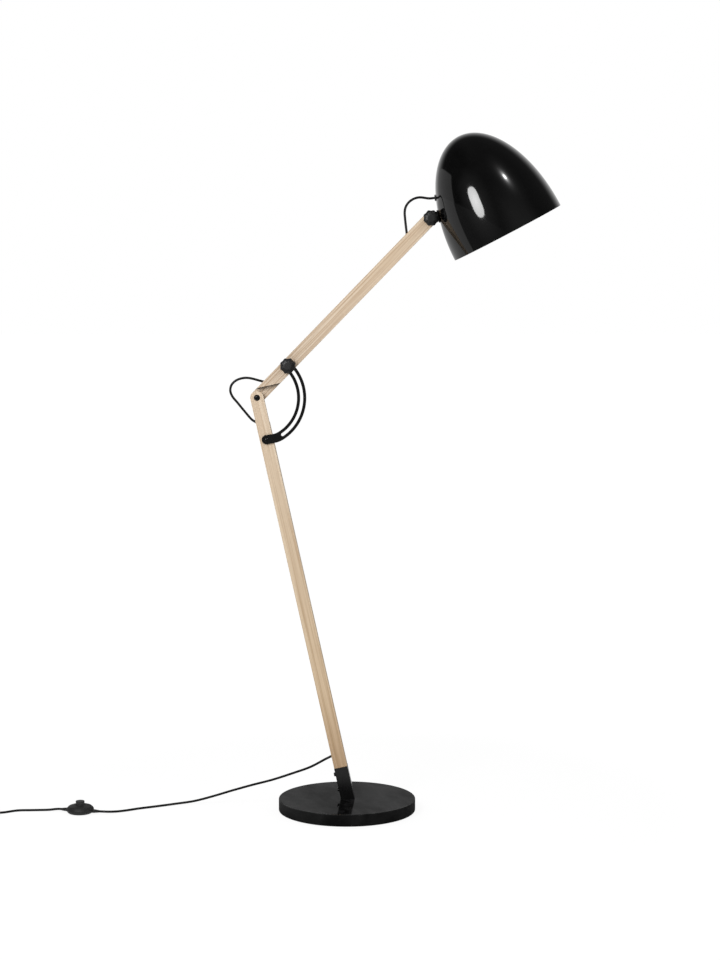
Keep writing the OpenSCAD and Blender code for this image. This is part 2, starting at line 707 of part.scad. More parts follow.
module shade() {
    color([0.02, 0.02, 0.02]) difference() {
        at_shade() rotate_extrude($fn = 144)
            polygon(concat(crown(shade_r, shade_h), reversed(crown(shade_in_r, shade_in_h))));
        seat_holes(-5 * shade_wall, 5 * shade_wall);
        at_grommet() translate([0, 0, -5 * shade_wall])
            cylinder(r = grommet_neck_r + fixed, h = 10 * shade_wall);
    }
}

module shade_bracket() {
    color([0.04, 0.04, 0.04]) difference() {
        at_seat() {
            translate([-pad_l / 2, -pad_w / 2, -4]) cube([pad_l, pad_w, 4 + seat_reach - half - pad_clear]);
            flat(-tongue_t / 2, tongue_t / 2) {
                translate([0, seat_reach]) circle(tongue_r);
                translate([-tongue_r, -4]) square([tongue_w, seat_reach + 4]);
            }
        }
        at_shade() solid_crown(shade_r + seat_gap, shade_h + seat_gap, $fn = 144);
        at_seat() translate([0, 0, seat_reach]) through(clamp_r + running, -far, far);
        seat_holes(-5, seat_screw_reach + 0.5);
    }
}
seat_screw_reach = seat_reach - clamp_r - 4;
seat_screw_head = -strap_off - strap_t;

module bracket_screws() {
    color("silver") at_seat_screws() {
        difference() {
            translate([0, 0, seat_screw_head]) rotate([180, 0, 0]) cap(0.95 * seat_screw_d, 0.6 * seat_screw_d);
            translate([0, 0, seat_screw_head - 0.6 * seat_screw_d - 1])
                cylinder(r = 0.3 * seat_screw_d, h = 2.2, $fn = 6);
        }
        translate([0, 0, seat_screw_head - 0.2])
            cylinder(d = seat_screw_d, h = seat_screw_reach - seat_screw_head + 0.2);
    }
}

// Strap bent from sheet: up the wall, across to the axis, and flat over the holder
function side_of(a, b) = let (d = unit(b - a)) [d[1], -d[0]];
function beside(p, i, t) = let (n = len(p) - 1,
    a = side_of(p[max(i - 1, 0)], p[max(i, 1)]), b = side_of(p[min(i, n - 1)], p[min(i + 1, n)]))
    p[i] + t * (a + b) / (1 + a * b);
strap_line = [by_wall(seat_r, seat_h, seat_slope, -pad_l / 2, -strap_off),
              by_wall(seat_r, seat_h, seat_slope, pad_l / 2 + 2, -strap_off),
              [-holder_r, strap_h], [holder_r - 4, strap_h]];

module holder_strap() {
    color("silver") difference() {
        at_shade() flat(-strap_w / 2, strap_w / 2) polygon(concat(strap_line,
            [for (i = [len(strap_line) - 1 : -1 : 0]) beside(strap_line, i, strap_t)]));
        seat_holes(-strap_off - strap_t - 2, 0);
        at_shade() translate([0, 0, strap_h - 2 * strap_t]) cylinder(r = nipple_r + fixed, h = 4 * strap_t);
    }
}

module pipe(r, hole, z0, z1) {
    translate([0, 0, z0]) difference() {
        cylinder(r = r, h = z1 - z0);
        translate([0, 0, -1]) cylinder(r = hole, h = z1 - z0 + 2);
    }
}

module holder_nipple() {
    color("goldenrod") at_shade() pipe(nipple_r, bore_r + 0.2, holder_top - nipple_down, strap_h + nipple_up);
}

module holder_nut() {
    color("silver") at_shade() translate([0, 0, strap_h]) difference() {
        cylinder(r = 1.7 * nipple_r, h = 3, $fn = 6);
        translate([0, 0, -1]) cylinder(r = nipple_r + fixed, h = 5);
    }
}

module holder_cap() {
    wall = 2;
    crown_r = 0.6 * holder_r;
    knee = holder_top - 10;
    low = holder_top - cap_len;
    color([0.08, 0.08, 0.08]) at_shade() rotate_extrude() polygon([
        [nipple_r + fixed, holder_top], [crown_r, holder_top], [holder_r, knee], [holder_r, low],
        [holder_r - wall, low], [holder_r - wall, knee - 1], [crown_r - 1, holder_top - wall - 1],
        [nipple_r + fixed, holder_top - wall - 1]]);
}

module holder_sleeve() {
    top = holder_top - cap_len;
    bore = bulb_neck_r + 0.4;
    color([0.08, 0.08, 0.08]) at_shade() rotate_extrude() polygon([
        [0, top], [holder_r, top], [holder_r, top - 6], [holder_r - 1.5, top - 8],
        [holder_r - 1.5, sleeve_end + 6], [holder_r, sleeve_end + 4], [holder_r, sleeve_end],
        [bore, sleeve_end], [bore, top - 5], [0, top - 5]]);
}

module bulb_cap() {
    top = holder_top - cap_len - 5.2;
    color("silver") at_shade() rotate_extrude() polygon([
        [0, top], [4.5, top], [5.5, top - 1.5], [bulb_neck_r - 3, top - 4], [bulb_neck_r, top - 6],
        [bulb_neck_r, sleeve_end], [0, sleeve_end]]);
}

module bulb_globe() {
    middle = sleeve_end - bulb_long;
    join = 50;
    function pear(r, neck) = concat([[neck, sleeve_end], [neck, sleeve_end - bulb_neck_len]],
        [for (a = [join : -10 : -90]) [r * cos(a), middle + r * sin(a)]]);
    color([0.95, 0.93, 0.88]) at_shade() rotate_extrude()
        polygon(concat(pear(bulb_r, bulb_neck_r), reversed(pear(bulb_r - glass_t, bulb_neck_r - glass_t))));
}

module shade_grommet() {
    neck = grommet_neck_r;
    lip = grommet_flange_r;
    color([0.06, 0.06, 0.06]) at_grommet() rotate_extrude() polygon([
        [cord_r + fixed, grommet_out], [lip - 1, grommet_out], [lip, grommet_out - 1], [lip, grommet_play],
        [neck, grommet_play], [neck, -shade_wall - grommet_play - 0.2], [lip, -shade_wall - grommet_play - 0.2],
        [lip, -shade_wall - grommet_out], [cord_r + fixed, -shade_wall - grommet_out]]);
}

// Cords
cord_sides = 10;
module cord_along(route, parts) { color([0.03, 0.03, 0.03]) tube(smooth(route, parts), cord_r, cord_sides); }
module cord_in_shade() {
    cord_along([for (p = shade_route) on_shade(p[0], 0, p[1])], 1);
}
module elbow_cord() { cord_along(elbow_route, 2); }
module head_cord() { cord_along(head_route, 2); }
module floor_cord() { cord_along(floor_route, 3); }
module switch_cord() { cord_along(switch_route, 2); }
module plug_cord() { cord_along(tail_route, 1); }
module cord_coil() { color([0.03, 0.03, 0.03]) tube(coil_path, cord_r, 6); }

module coil_tie() {
    inner = [coil_step * (coil_turns - 1) + cord_d + 2 * tie_play, coil_layer + cord_d + 2 * tie_gap];
    outer = inner + [2 * tie_t, 2 * tie_t];
    color([0.05, 0.05, 0.05])
        translate([coil_x, coil_y + coil_in_r + coil_step * coil_turns / 2, coil_low + coil_layer / 2])
        rotate([0, 90, 0]) translate([0, 0, -tie_w / 2]) linear_extrude(tie_w) difference() {
            square([outer[1], outer[0]], center = true);
            square([inner[1], inner[0]], center = true);
        }
}

// Foot switch
module relief_holes(r) {
    translate([-switch_r - 1, 0, switch_cord_z]) rotate([0, 90, 0]) cylinder(r = r, h = 2 * switch_r + 2);
}
relief_r = cord_r + 1.5;
relief_hold = relief_r + 1.6;
cover_hole = button_r + button_play;
cover_top = switch_h - switch_wall;

module switch_base() {
    color([0.08, 0.08, 0.08]) at_switch() difference() {
        rotate_extrude() polygon([[0, 0], [0.72 * switch_r, 0], [0.86 * switch_r, 1.2], [0.95 * switch_r, 4],
            [switch_r, seam_z], [switch_r - switch_wall, seam_z], [0.95 * switch_r - switch_wall, 5],
            [0.72 * switch_r, switch_wall], [0, switch_wall]]);
        relief_holes(relief_r + fixed);
        at_switch_screws() translate([0, 0, -1]) cylinder(r = 1.6, h = switch_wall + 2);
    }
}

module at_switch_screws() {
    for (a = [90, 270]) rotate([0, 0, a]) translate([0.6 * switch_r, 0, 0]) children();
}

module switch_cover() {
    color([0.09, 0.09, 0.09]) at_switch() {
        difference() {
            rotate_extrude() polygon([[switch_r, seam_z], [0.96 * switch_r, seam_z + 3.5],
                [0.83 * switch_r, seam_z + 7.5], [0.62 * switch_r, switch_h - 1.5],
                [cover_hole + collar_t, switch_h], [cover_hole + collar_t, switch_h + collar_h],
                [cover_hole, switch_h + collar_h], [cover_hole, cover_top - 0.5],
                [0.62 * switch_r, cover_top - 1.5], [0.8 * switch_r, seam_z + 5.5],
                [0.93 * switch_r - switch_wall, seam_z + 2], [switch_r - switch_wall, seam_z]]);
            relief_holes(relief_r + fixed);
        }
        at_switch_screws() pipe(3, 1.1, switch_wall, cover_top - 1);
    }
}

module switch_screws() {
    color("silver") at_switch() at_switch_screws() translate([0, 0, 0.3]) {
        cylinder(r = 1.5, h = 0.9);
        cylinder(r = 1, h = seam_z + 2);
    }
}

module switch_button() {
    low = cover_top - 0.5 - button_play - button_flange_t;
    color([0.1, 0.1, 0.1]) at_switch() difference() {
        union() {
            translate([0, 0, low]) cylinder(r = cover_hole + button_flange, h = button_flange_t);
            translate([0, 0, low]) round_disc(button_d, button_top - low, 1.6);
        }
        translate([0, 0, low - 1]) cylinder(r = button_r - 3, h = 0.5 * (button_top - low));
        translate([0, 0, button_top + 2.1 * button_d - 0.9]) sphere(2.1 * button_d);
    }
}

module switch_spring() {
    low = cover_top - 0.5 - button_play - button_flange_t;
    top = low - 1 + 0.5 * (button_top - low);
    color("silver") at_switch() pipe(button_r - 3.6, button_r - 4.8, switch_wall, top);
}

module switch_reliefs() {
    color([0.06, 0.06, 0.06]) at_switch() for (side = [0, 180])
        rotate([0, 0, side]) translate([switch_r - relief_inside, 0, switch_cord_z]) rotate([0, 90, 0])
            rotate_extrude() polygon([[0, 0], [relief_r, 0], [relief_r, relief_inside + 1.5],
                [cord_r + 0.5, relief_len], [0, relief_len]]);
}

// Flat two-pin plug, lying on its broad side
module at_plug() { translate(plug_end) rotate([0, 0, 180]) children(); }

module plug_relief_sleeve() {
    color([0.06, 0.06, 0.06]) at_plug() rotate([0, 90, 0]) rotate_extrude()
        polygon([[0, 0], [cord_r + 0.6, 0], [cord_r + 2.2, plug_relief], [0, plug_relief]]);
}

module plug_body() {
    taper = 0.55;
    color([0.07, 0.07, 0.07]) at_plug() translate([plug_relief, 0, -plug_t / 2]) linear_extrude(plug_t)
        polygon([[0, -0.5 * taper * plug_w], [0, 0.5 * taper * plug_w], [0.5 * plug_len, 0.42 * plug_w],
            [0.85 * plug_len, 0.5 * plug_w], [plug_len, 0.42 * plug_w], [plug_len, -0.42 * plug_w],
            [0.85 * plug_len, -0.5 * plug_w], [0.5 * plug_len, -0.42 * plug_w]]);
}

module plug_pins() {
    color("silver") at_plug() for (s = [-1, 1])
        translate([plug_relief + plug_len, s * pin_step / 2, 0]) rotate([0, 90, 0]) {
            cylinder(d = pin_d, h = pin_len - 1.5);
            translate([0, 0, pin_len - 1.5]) cap(pin_d / 2, 1.5);
        }
}

marble_base();
base_felt();
base_bolt();
base_washer();
post_socket();
socket_screws();
post();
cord_in_post();
arc_plate();
arc_screw();
arc_spacer();
elbow_bolt();
elbow_washer();
elbow_back_washer();
elbow_nut();
arm();
cord_in_arm();
elbow_clamp_bolt();
elbow_clamp_washers();
elbow_knob();
head_clamp_bolt();
head_washer();
head_knob();
shade();
shade_bracket();
bracket_screws();
holder_strap();
holder_nipple();
holder_nut();
holder_cap();
holder_sleeve();
bulb_cap();
bulb_globe();
shade_grommet();
cord_in_shade();
elbow_cord();
head_cord();
floor_cord();
switch_base();
switch_cover();
switch_screws();
switch_button();
switch_spring();
switch_reliefs();
switch_cord();
cord_coil();
coil_tie();
plug_cord();
plug_relief_sleeve();
plug_body();
plug_pins();
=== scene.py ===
"""Floor lamp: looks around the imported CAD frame. Metres, +Z up, front is -Y."""
import math

import bmesh
import bpy
from mathutils import Matrix, Vector


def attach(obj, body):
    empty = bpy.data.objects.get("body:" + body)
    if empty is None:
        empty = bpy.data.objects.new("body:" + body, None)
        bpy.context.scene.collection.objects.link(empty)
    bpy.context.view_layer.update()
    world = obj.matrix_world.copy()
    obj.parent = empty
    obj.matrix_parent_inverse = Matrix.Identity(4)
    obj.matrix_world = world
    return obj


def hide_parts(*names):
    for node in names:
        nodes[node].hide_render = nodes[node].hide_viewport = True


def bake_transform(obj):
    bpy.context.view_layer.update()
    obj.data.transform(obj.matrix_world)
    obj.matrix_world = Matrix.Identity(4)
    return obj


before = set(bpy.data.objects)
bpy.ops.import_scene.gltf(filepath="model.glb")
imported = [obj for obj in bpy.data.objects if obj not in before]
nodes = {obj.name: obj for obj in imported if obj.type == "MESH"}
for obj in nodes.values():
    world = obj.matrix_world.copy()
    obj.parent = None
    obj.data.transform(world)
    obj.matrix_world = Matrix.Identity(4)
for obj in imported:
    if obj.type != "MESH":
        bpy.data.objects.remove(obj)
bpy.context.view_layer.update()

MM = 0.001

# Sizes repeated from the part's source, in millimetres and degrees
BASE_D, BASE_H, FELT, FELT_INSET = 300, 28, 1.5, 8
FOOT_X, LEAN, POST_LEN, HALF = 2, 12.5, 903, 14.5
ARM_TURN, ARM_LEN, ARC_R, LAP_REACH = 44.2, 536, 96.5, 20
KNOB_R, KNOB_H, HUB_R, HUB_H = 17.25, 14, 8.6, 4
ELBOW_KNOB_Y, HEAD_KNOB_Y = -19.9, -15.8
SHADE_R, SHADE_H, SHADE_WALL, SHADE_LEAN = 127, 230.5, 1, 27.7
SEAT_H, SEAT_REACH, GROMMET_H, GROMMET_OUT = 99.6, 17.4, 137.5, 2.5
STRAP_H, STRAP_T, HOLDER_R, CAP_LEN, SLEEVE_LEN = 178, 2.5, 20, 24, 34
BULB_R, NECK_R, NECK_LEN, BULB_LONG = 30, 13.2, 6, 48
CORD_R, CORD_PLAY, CLAMP_R, BORE_WALL = 2.6, 0.4, 3, 0.9
SWITCH_X, SWITCH_Y, SWITCH_TURN, SWITCH_R, SWITCH_CORD_Z = -584, -26, -13, 30, 6.1
RELIEF_END = 42
COIL_X, COIL_Y, COIL_IN, COIL_STEP, COIL_LAYER, COIL_LOW, COIL_TURNS = -826, 1.1, 20.8, 6.1, 5.75, 3.5, 3
PLUG_END = (-906, -38, 6.8)


# Frames of the lamp: each turns a piece's own millimetres into the lamp's, still in millimetres
def turn_y(degrees):
    return Matrix.Rotation(math.radians(degrees), 4, "Y")


def wall_radius(h):
    return SHADE_R * math.sqrt(1 - (h / SHADE_H) ** 2)


def wall_slope(h):
    return math.degrees(math.atan2(h / SHADE_H ** 2, wall_radius(h) / SHADE_R ** 2))


def by_wall(h, out):
    s = math.radians(wall_slope(h))
    return -wall_radius(h) - out * math.cos(s), h + out * math.sin(s)


POST = Matrix.Translation((FOOT_X, 0, BASE_H)) @ turn_y(-LEAN)
ELBOW = POST @ Matrix.Translation((0, 0, POST_LEN))
ARM = ELBOW @ turn_y(LEAN + ARM_TURN)
HEAD = ARM @ Matrix.Translation((0, 0, ARM_LEN))
PIVOT_X, PIVOT_H = by_wall(SEAT_H, SEAT_REACH)
SHADE = HEAD @ turn_y(-ARM_TURN - SHADE_LEAN) @ Matrix.Translation((-PIVOT_X, 0, -PIVOT_H))
SWITCH = Matrix.Translation((SWITCH_X, SWITCH_Y, 0)) @ Matrix.Rotation(math.radians(SWITCH_TURN), 4, "Z")
PLUG = Matrix.Translation(PLUG_END) @ Matrix.Rotation(math.pi, 4, "Z")
UPRIGHT = Matrix.Identity(4)
TO_FRONT = Matrix.Rotation(math.radians(90), 4, "X")
METRES = Matrix.Scale(MM, 4)


def at(place, x, z, y=0):
    return place @ Vector((x, y, z))


# Camera, solved from the base's ellipse and the shade's rim: metres, degrees and millimetres
CAMERA_PLACE, CAMERA_TILT, CAMERA_LENS, SENSOR = (0.02858, -4.7, 1.2087), 84.187, 108.96, 36
lens = bpy.data.cameras.new("camera")
lens.sensor_fit, lens.sensor_width, lens.lens = "HORIZONTAL", SENSOR, CAMERA_LENS
lens.clip_end = 60
camera = bpy.data.objects.new("camera", lens)
bpy.context.scene.collection.objects.link(camera)
camera.location = CAMERA_PLACE
camera.rotation_euler = (math.radians(CAMERA_TILT), 0, 0)
bpy.context.scene.camera = camera


# Finishes
class Finish:
    """A node material in the making: shader, and wires between named nodes."""

    def __init__(self, name, rough=0.5, metal=0.0, **sockets):
        self.material = bpy.data.materials.new(name)
        self.material.use_nodes = True
        self.tree = self.material.node_tree
        self.shader = self.tree.nodes["Principled BSDF"]
        self.shader.inputs["Roughness"].default_value = rough
        self.shader.inputs["Metallic"].default_value = metal
        for socket, value in sockets.items():
            self.shader.inputs[socket.replace("_", " ")].default_value = value
        self.place = self.tree.nodes.new("ShaderNodeTexCoord").outputs["Object"]

    def node(self, kind, **values):
        made = self.tree.nodes.new("ShaderNode" + kind)
        for key, value in values.items():
            if key in made.inputs:
                made.inputs[key].default_value = value
            else:
                setattr(made, key, value)
        return made

    def wire(self, start, end):
        self.tree.links.new(start, end)
        return self

    def mapped(self, turn=(0, 0, 0), scale=(1, 1, 1)):
        """Object coordinates turned back by a frame's turn, then scaled."""
        turned = self.node("Mapping", vector_type="POINT")
        turned.inputs["Rotation"].default_value = [math.radians(a) for a in turn]
        self.wire(self.place, turned.inputs["Vector"])
        grown = self.node("Mapping", vector_type="POINT")
        grown.inputs["Scale"].default_value = scale
        self.wire(turned.outputs["Vector"], grown.inputs["Vector"])
        return grown.outputs["Vector"]

    def axes(self, vector):
        split = self.node("SeparateXYZ")
        self.wire(vector, split.inputs["Vector"])
        return split.outputs

    def math(self, how, first, second):
        made = self.node("Math", operation=how)
        for socket, value in zip(made.inputs, (first, second)):
            if isinstance(value, float):
                socket.default_value = value
            else:
                self.wire(value, socket)
        return made.outputs["Value"]

    def noise(self, vector, scale, detail=4.0, rough=0.55, warp=0.0):
        made = self.node("TexNoise", Scale=scale, Detail=detail, Roughness=rough, Distortion=warp)
        self.wire(vector, made.inputs["Vector"])
        return made.outputs["Fac"]

    def ramp(self, factor, stops):
        made = self.node("ValToRGB")
        bar = made.color_ramp.elements
        while len(bar) < len(stops):
            bar.new(0.5)
        for element, (where, colour) in zip(bar, stops):
            element.position = where
            element.color = (*colour, 1)
        self.wire(factor, made.inputs["Fac"])
        return made.outputs["Color"]

    def span(self, factor, low, high, new_low, new_high):
        made = self.node("MapRange")
        limits = {"From Min": low, "From Max": high, "To Min": new_low, "To Max": new_high}
        for socket, value in limits.items():
            made.inputs[socket].default_value = value
        self.wire(factor, made.inputs["Value"])
        return made.outputs["Result"]

    def mix(self, factor, first, second, how="MIX"):
        made = self.node("Mix", data_type="RGBA", blend_type=how)
        self.wire(factor, made.inputs["Factor"])
        for socket, colour in ((made.inputs[6], first), (made.inputs[7], second)):
            if isinstance(colour, tuple):
                socket.default_value = (*colour, 1)
            else:
                self.wire(colour, socket)
        return made.outputs[2]

    def colour(self, source):
        return self.wire(source, self.shader.inputs["Base Color"])

    def roughness(self, source):
        return self.wire(source, self.shader.inputs["Roughness"])

    def bump(self, height, depth, strength=0.5):
        made = self.node("Bump", Strength=strength, Distance=depth)
        self.wire(height, made.inputs["Height"])
        return self.wire(made.outputs["Normal"], self.shader.inputs["Normal"])


def grey(level):
    return level, level, level


def even_finish(name, dark, light, grain, rough, bump, metal=0.0, **sockets):
    """Moulded, painted or plated finish: slow colour drift, patchy gloss, fine bump."""
    made = Finish(name, metal=metal, **sockets)
    drift = made.noise(made.place, 60, 3)
    fine = made.noise(made.place, grain, 5, 0.6)
    made.colour(made.ramp(drift, [(0.3, dark), (0.7, light)]))
    made.roughness(made.span(fine, 0.3, 0.7, *rough))
    made.bump(fine, bump)
    return made.material


GRAIN_STRETCH, WOOD_TOP = 0.01, 0.92
# Painted shadow in a half-lap's inner corner: its band below the shoulder, and how dark it gets
LAP_FACE, LAP_SHADOW, LAP_SHADE_DEPTH = 1.2 * MM, 4.2 * MM, 0.75


def painted_lap_shadow(made, shoulder):
    """Painted shadow in a half-lap's inner corner: how dark a band on the inner face is, up to the shoulder.
    """
    _, y, z = made.axes(made.mapped((0, LEAN, 0)))
    lean = math.radians(LEAN)
    corner = (math.cos(lean) * BASE_H - math.sin(lean) * FOOT_X + shoulder) * MM
    band = made.span(z, corner - LAP_SHADOW, corner - LAP_FACE, 0.0, LAP_SHADE_DEPTH)
    dark = made.math("MULTIPLY", band, made.math("LESS_THAN", y, LAP_FACE))
    return made.math("MULTIPLY", dark, made.math("LESS_THAN", z, corner + 0.1 * MM))


def wood_finish(name, turn, painted_light_ramp, grains, shoulder=None):
    """Pale straight-grained wood along a bar turned about Y: broad and fine streaks of given scale and depth,
    over colours that change up the bar, darker towards its foot as painted shade. A shoulder is where its
    half-lap ends, in a painted shadow."""
    made = Finish(name, Specular_IOR_Level=0.2)
    rise = made.span(made.axes(made.mapped((0, turn, 0)))["Z"], 0.0, WOOD_TOP, 0.0, 1.0)
    grain = made.mapped((0, turn, 0), (1, 1, GRAIN_STRETCH))
    (wide, some), (thin, more) = grains
    broad = made.noise(grain, wide, 2, 0.5, 0.4)
    fibre = made.noise(grain, thin, 3, 0.5, 0.2)
    pores = made.noise(grain, 1500, 1, 0.5)
    # Colours up the bar: painted light and shade, darker low down
    wood = made.ramp(rise, painted_light_ramp)
    wood = made.mix(made.span(broad, 0.35, 0.68, 0.0, some), wood, (0.66, 0.52, 0.38), "MULTIPLY")
    wood = made.mix(made.span(fibre, 0.42, 0.72, 0.0, more), wood, (0.56, 0.43, 0.3), "MULTIPLY")
    wood = made.mix(made.span(pores, 0.6, 0.75, 0.0, 0.3), wood, (0.5, 0.38, 0.26), "MULTIPLY")
    if shoulder:
        # Painted shadow: the recess below the half-lap's shoulder darkened, as shaded by the half above it
        wood = made.mix(painted_lap_shadow(made, shoulder), wood, (0.06, 0.06, 0.065))
    made.colour(wood)
    made.roughness(made.span(fibre, 0.3, 0.7, 0.46, 0.62))
    made.bump(fibre, 0.0002, 0.35)
    return made.material


STONE_EDGE = BASE_H * MM - 0.6 * MM, BASE_H * MM - 0.06 * MM


def stone_finish():
    """Black stone with faint grey clouds and thin broken veins: polished on top, honed round its edge, where
    its colour is painted near black as shade.
    """
    made = Finish("polished_black_stone")
    cloud = made.noise(made.mapped((0, 0, -20), (1, 0.3, 1)), 20, 5, 0.55, 0.5)
    bent = made.noise(made.mapped((0, 0, 25), (1, 2.2, 1)), 7, 8, 0.6, 1.6)
    vein = made.ramp(bent, [(0.47, grey(0)), (0.5, grey(1)), (0.53, grey(0))])
    ground = made.ramp(cloud, [(0.4, grey(0.001)), (0.68, (0.018, 0.018, 0.0182))])
    made.wire(made.span(cloud, 0.34, 0.68, 0.22, 0.56), made.shader.inputs["Specular IOR Level"])
    veined = made.mix(made.span(vein, 0.0, 1.0, 0.0, 0.1), ground, (0.12, 0.12, 0.125))
    height = made.axes(made.place)["Z"]
    # Below the top the colour goes near black without clouds or veins: painted shade on the base's side
    made.colour(made.mix(made.span(height, *STONE_EDGE, 0.9, 0.0), veined, grey(0.002)))
    honed = made.span(height, *STONE_EDGE, 0.42, 0.0)
    polished = made.span(cloud, 0.3, 0.75, 0.06, 0.16)
    made.roughness(made.math("MAXIMUM", honed, polished))
    return made.material


def felt_finish():
    made = Finish("dark_felt", rough=0.95)
    fuzz = made.noise(made.place, 900, 6, 0.7)
    made.colour(made.ramp(fuzz, [(0.3, (0.02, 0.02, 0.022)), (0.7, (0.07, 0.07, 0.075))]))
    made.bump(fuzz, 0.0006, 0.8)
    return made.material


BLACK_STEEL = even_finish("satin_black_steel", grey(0.003), grey(0.006), 2200, (0.13, 0.2), 0.00001)
PLATED_STEEL = even_finish("zinc_plated_steel", (0.55, 0.56, 0.58), (0.68, 0.69, 0.7), 1500, (0.25, 0.4),
                           0.00003, 1.0)
BRASS = even_finish("plain_brass", (0.62, 0.45, 0.2), (0.75, 0.58, 0.3), 1500, (0.2, 0.38), 0.00003, 1.0)
KNOB_PLASTIC = even_finish("satin_knob_plastic", grey(0.006), grey(0.011), 1800, (0.42, 0.54), 0.00005)
CORD_SHEATH = even_finish("cord_sheath", grey(0.003), grey(0.006), 1600, (0.45, 0.6), 0.00006,
                          Specular_IOR_Level=0.3)
SOFT_RUBBER = even_finish("soft_rubber", grey(0.01), grey(0.02), 1400, (0.5, 0.68), 0.00008)
SWITCH_PLASTIC = even_finish("switch_plastic", grey(0.011), grey(0.018), 1300, (0.5, 0.66), 0.0001)
# A lighter copy of the switch's plastic for the button, in the same slot: painted light on its top
BUTTON_LIT_PLASTIC = even_finish("button_plastic_lit", grey(0.024), grey(0.034), 1300, (0.4, 0.55), 0.0001)
PLUG_PLASTIC = even_finish("plug_plastic", grey(0.012), grey(0.02), 1500, (0.4, 0.55), 0.00006)
HOLDER_PLASTIC = even_finish("holder_plastic", grey(0.01), grey(0.018), 1500, (0.3, 0.45), 0.00004)
TIE_NYLON = even_finish("tie_strap", grey(0.01), grey(0.024), 1900, (0.55, 0.75), 0.0001)
NYLON = even_finish("natural_nylon", (0.72, 0.71, 0.66), (0.82, 0.81, 0.76), 900, (0.4, 0.5), 0.00004)
GLOSS_BLACK = even_finish("gloss_black_paint", grey(0.0012), grey(0.002), 700, (0.045, 0.075), 0.000004)
WHITE_LINING = even_finish("white_lining", (0.76, 0.76, 0.74), (0.82, 0.82, 0.8), 900, (0.45, 0.6), 0.00003)
OPAL_GLASS = even_finish("opal_glass", (0.84, 0.83, 0.79), (0.9, 0.89, 0.86), 500, (0.12, 0.2), 0.00001,
                         Coat_Weight=0.4)
STONE = stone_finish()
FELT_CLOTH = felt_finish()
# Colours up the post and the arm, darker towards their feet: painted shade over the wood's own tone
POST_WOOD = wood_finish("post_wood", LEAN, [(0, (0.55, 0.37, 0.217)), (0.3, (0.705, 0.552, 0.378)),
                                            (0.6, (0.692, 0.557, 0.403)), (1, (0.685, 0.57, 0.44))],
                        ((150, 0.22), (400, 0.6)))
ARM_WOOD = wood_finish("arm_wood", -ARM_TURN, [(0.69, (0.63, 0.525, 0.413)), (0.87, (0.694, 0.58, 0.452)),
                                               (1, (0.681, 0.556, 0.417))],
                       ((150, 0.2), (340, 0.85)), POST_LEN + LAP_REACH)


# Modelling
def clear():
    if bpy.context.mode != "OBJECT":
        bpy.ops.object.mode_set(mode="OBJECT")
    bpy.ops.object.select_all(action="DESELECT")


def take(piece):
    clear()
    piece.select_set(True)
    bpy.context.view_layer.objects.active = piece
    return piece


def edit(piece):
    take(piece)
    bpy.ops.object.mode_set(mode="EDIT")
    bpy.ops.mesh.select_mode(type="VERT")


def select_by_place(piece, wanted):
    """Selects the vertices, in edit mode, whose place passes a test."""
    mesh = bmesh.from_edit_mesh(piece.data)
    for vert in mesh.verts:
        vert.select = wanted(vert.co)
    mesh.select_flush_mode()
    mesh.select_flush(True)
    bmesh.update_edit_mesh(piece.data)


def smoothed(piece, angle):
    """Smooth shading up to an angle; broad faces keep their own direction, so flat ones stay flat."""
    bpy.ops.object.shade_smooth_by_angle(angle=math.radians(angle))
    bpy.ops.object.modifier_add(type="WEIGHTED_NORMAL")
    piece.modifiers[-1].keep_sharp = True
    bpy.ops.object.modifier_apply(modifier=piece.modifiers[-1].name)
    return piece


def settle(piece, place, smooth=35):
    """Puts a piece that was modelled in its own millimetres into the lamp's frame."""
    take(piece)
    piece.matrix_world = METRES @ place
    bpy.ops.object.transform_apply(location=True, rotation=True, scale=True)
    return smoothed(piece, smooth)


def dress(piece, body, slot, finish, *nodes):
    for material in finish if isinstance(finish, tuple) else (finish,):
        piece.data.materials.append(material)
    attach(piece, body)
    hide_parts(*nodes)
    return piece


def rounded(points, radius, parts=4):
    """An outline with each inner corner of at most radius turned into a short arc."""
    made = [points[0]]
    for before, corner, after in zip(points, points[1:], points[2:]):
        a, b, c = (Vector(p) for p in (before, corner, after))
        cut = min(radius, (b - a).length * 0.45, (c - b).length * 0.45)
        p, q = b + (a - b).normalized() * cut, b + (c - b).normalized() * cut
        for k in range(parts + 1):
            t = k / parts
            made.append(tuple(p * (1 - t) ** 2 + b * 2 * t * (1 - t) + q * t * t))
    return made + [points[-1]]


def drawn(name, outline):
    """A point that is drawn out along an outline of (radius, height)."""
    clear()
    bpy.ops.mesh.primitive_plane_add(size=2)
    piece = bpy.context.object
    piece.name = piece.data.name = name
    edit(piece)
    bpy.ops.mesh.select_all(action="SELECT")
    bpy.ops.mesh.merge(type="CENTER")
    bpy.ops.transform.translate(value=(outline[0][0], 0, outline[0][1]))
    for (r0, z0), (r1, z1) in zip(outline, outline[1:]):
        bpy.ops.mesh.extrude_vertices_move(TRANSFORM_OT_translate={"value": (r1 - r0, 0, z1 - z0)})
    return piece


def spun(name, outline, sides=96):
    """Outline spun about Z, welded, faces outwards; left in edit mode."""
    piece = drawn(name, outline)
    bpy.ops.mesh.select_all(action="SELECT")
    bpy.ops.mesh.spin(steps=sides, angle=2 * math.pi, center=(0, 0, 0), axis=(0, 0, 1))
    bpy.ops.mesh.select_all(action="SELECT")
    bpy.ops.mesh.remove_doubles(threshold=0.002)
    bpy.ops.mesh.normals_make_consistent(inside=False)
    return piece


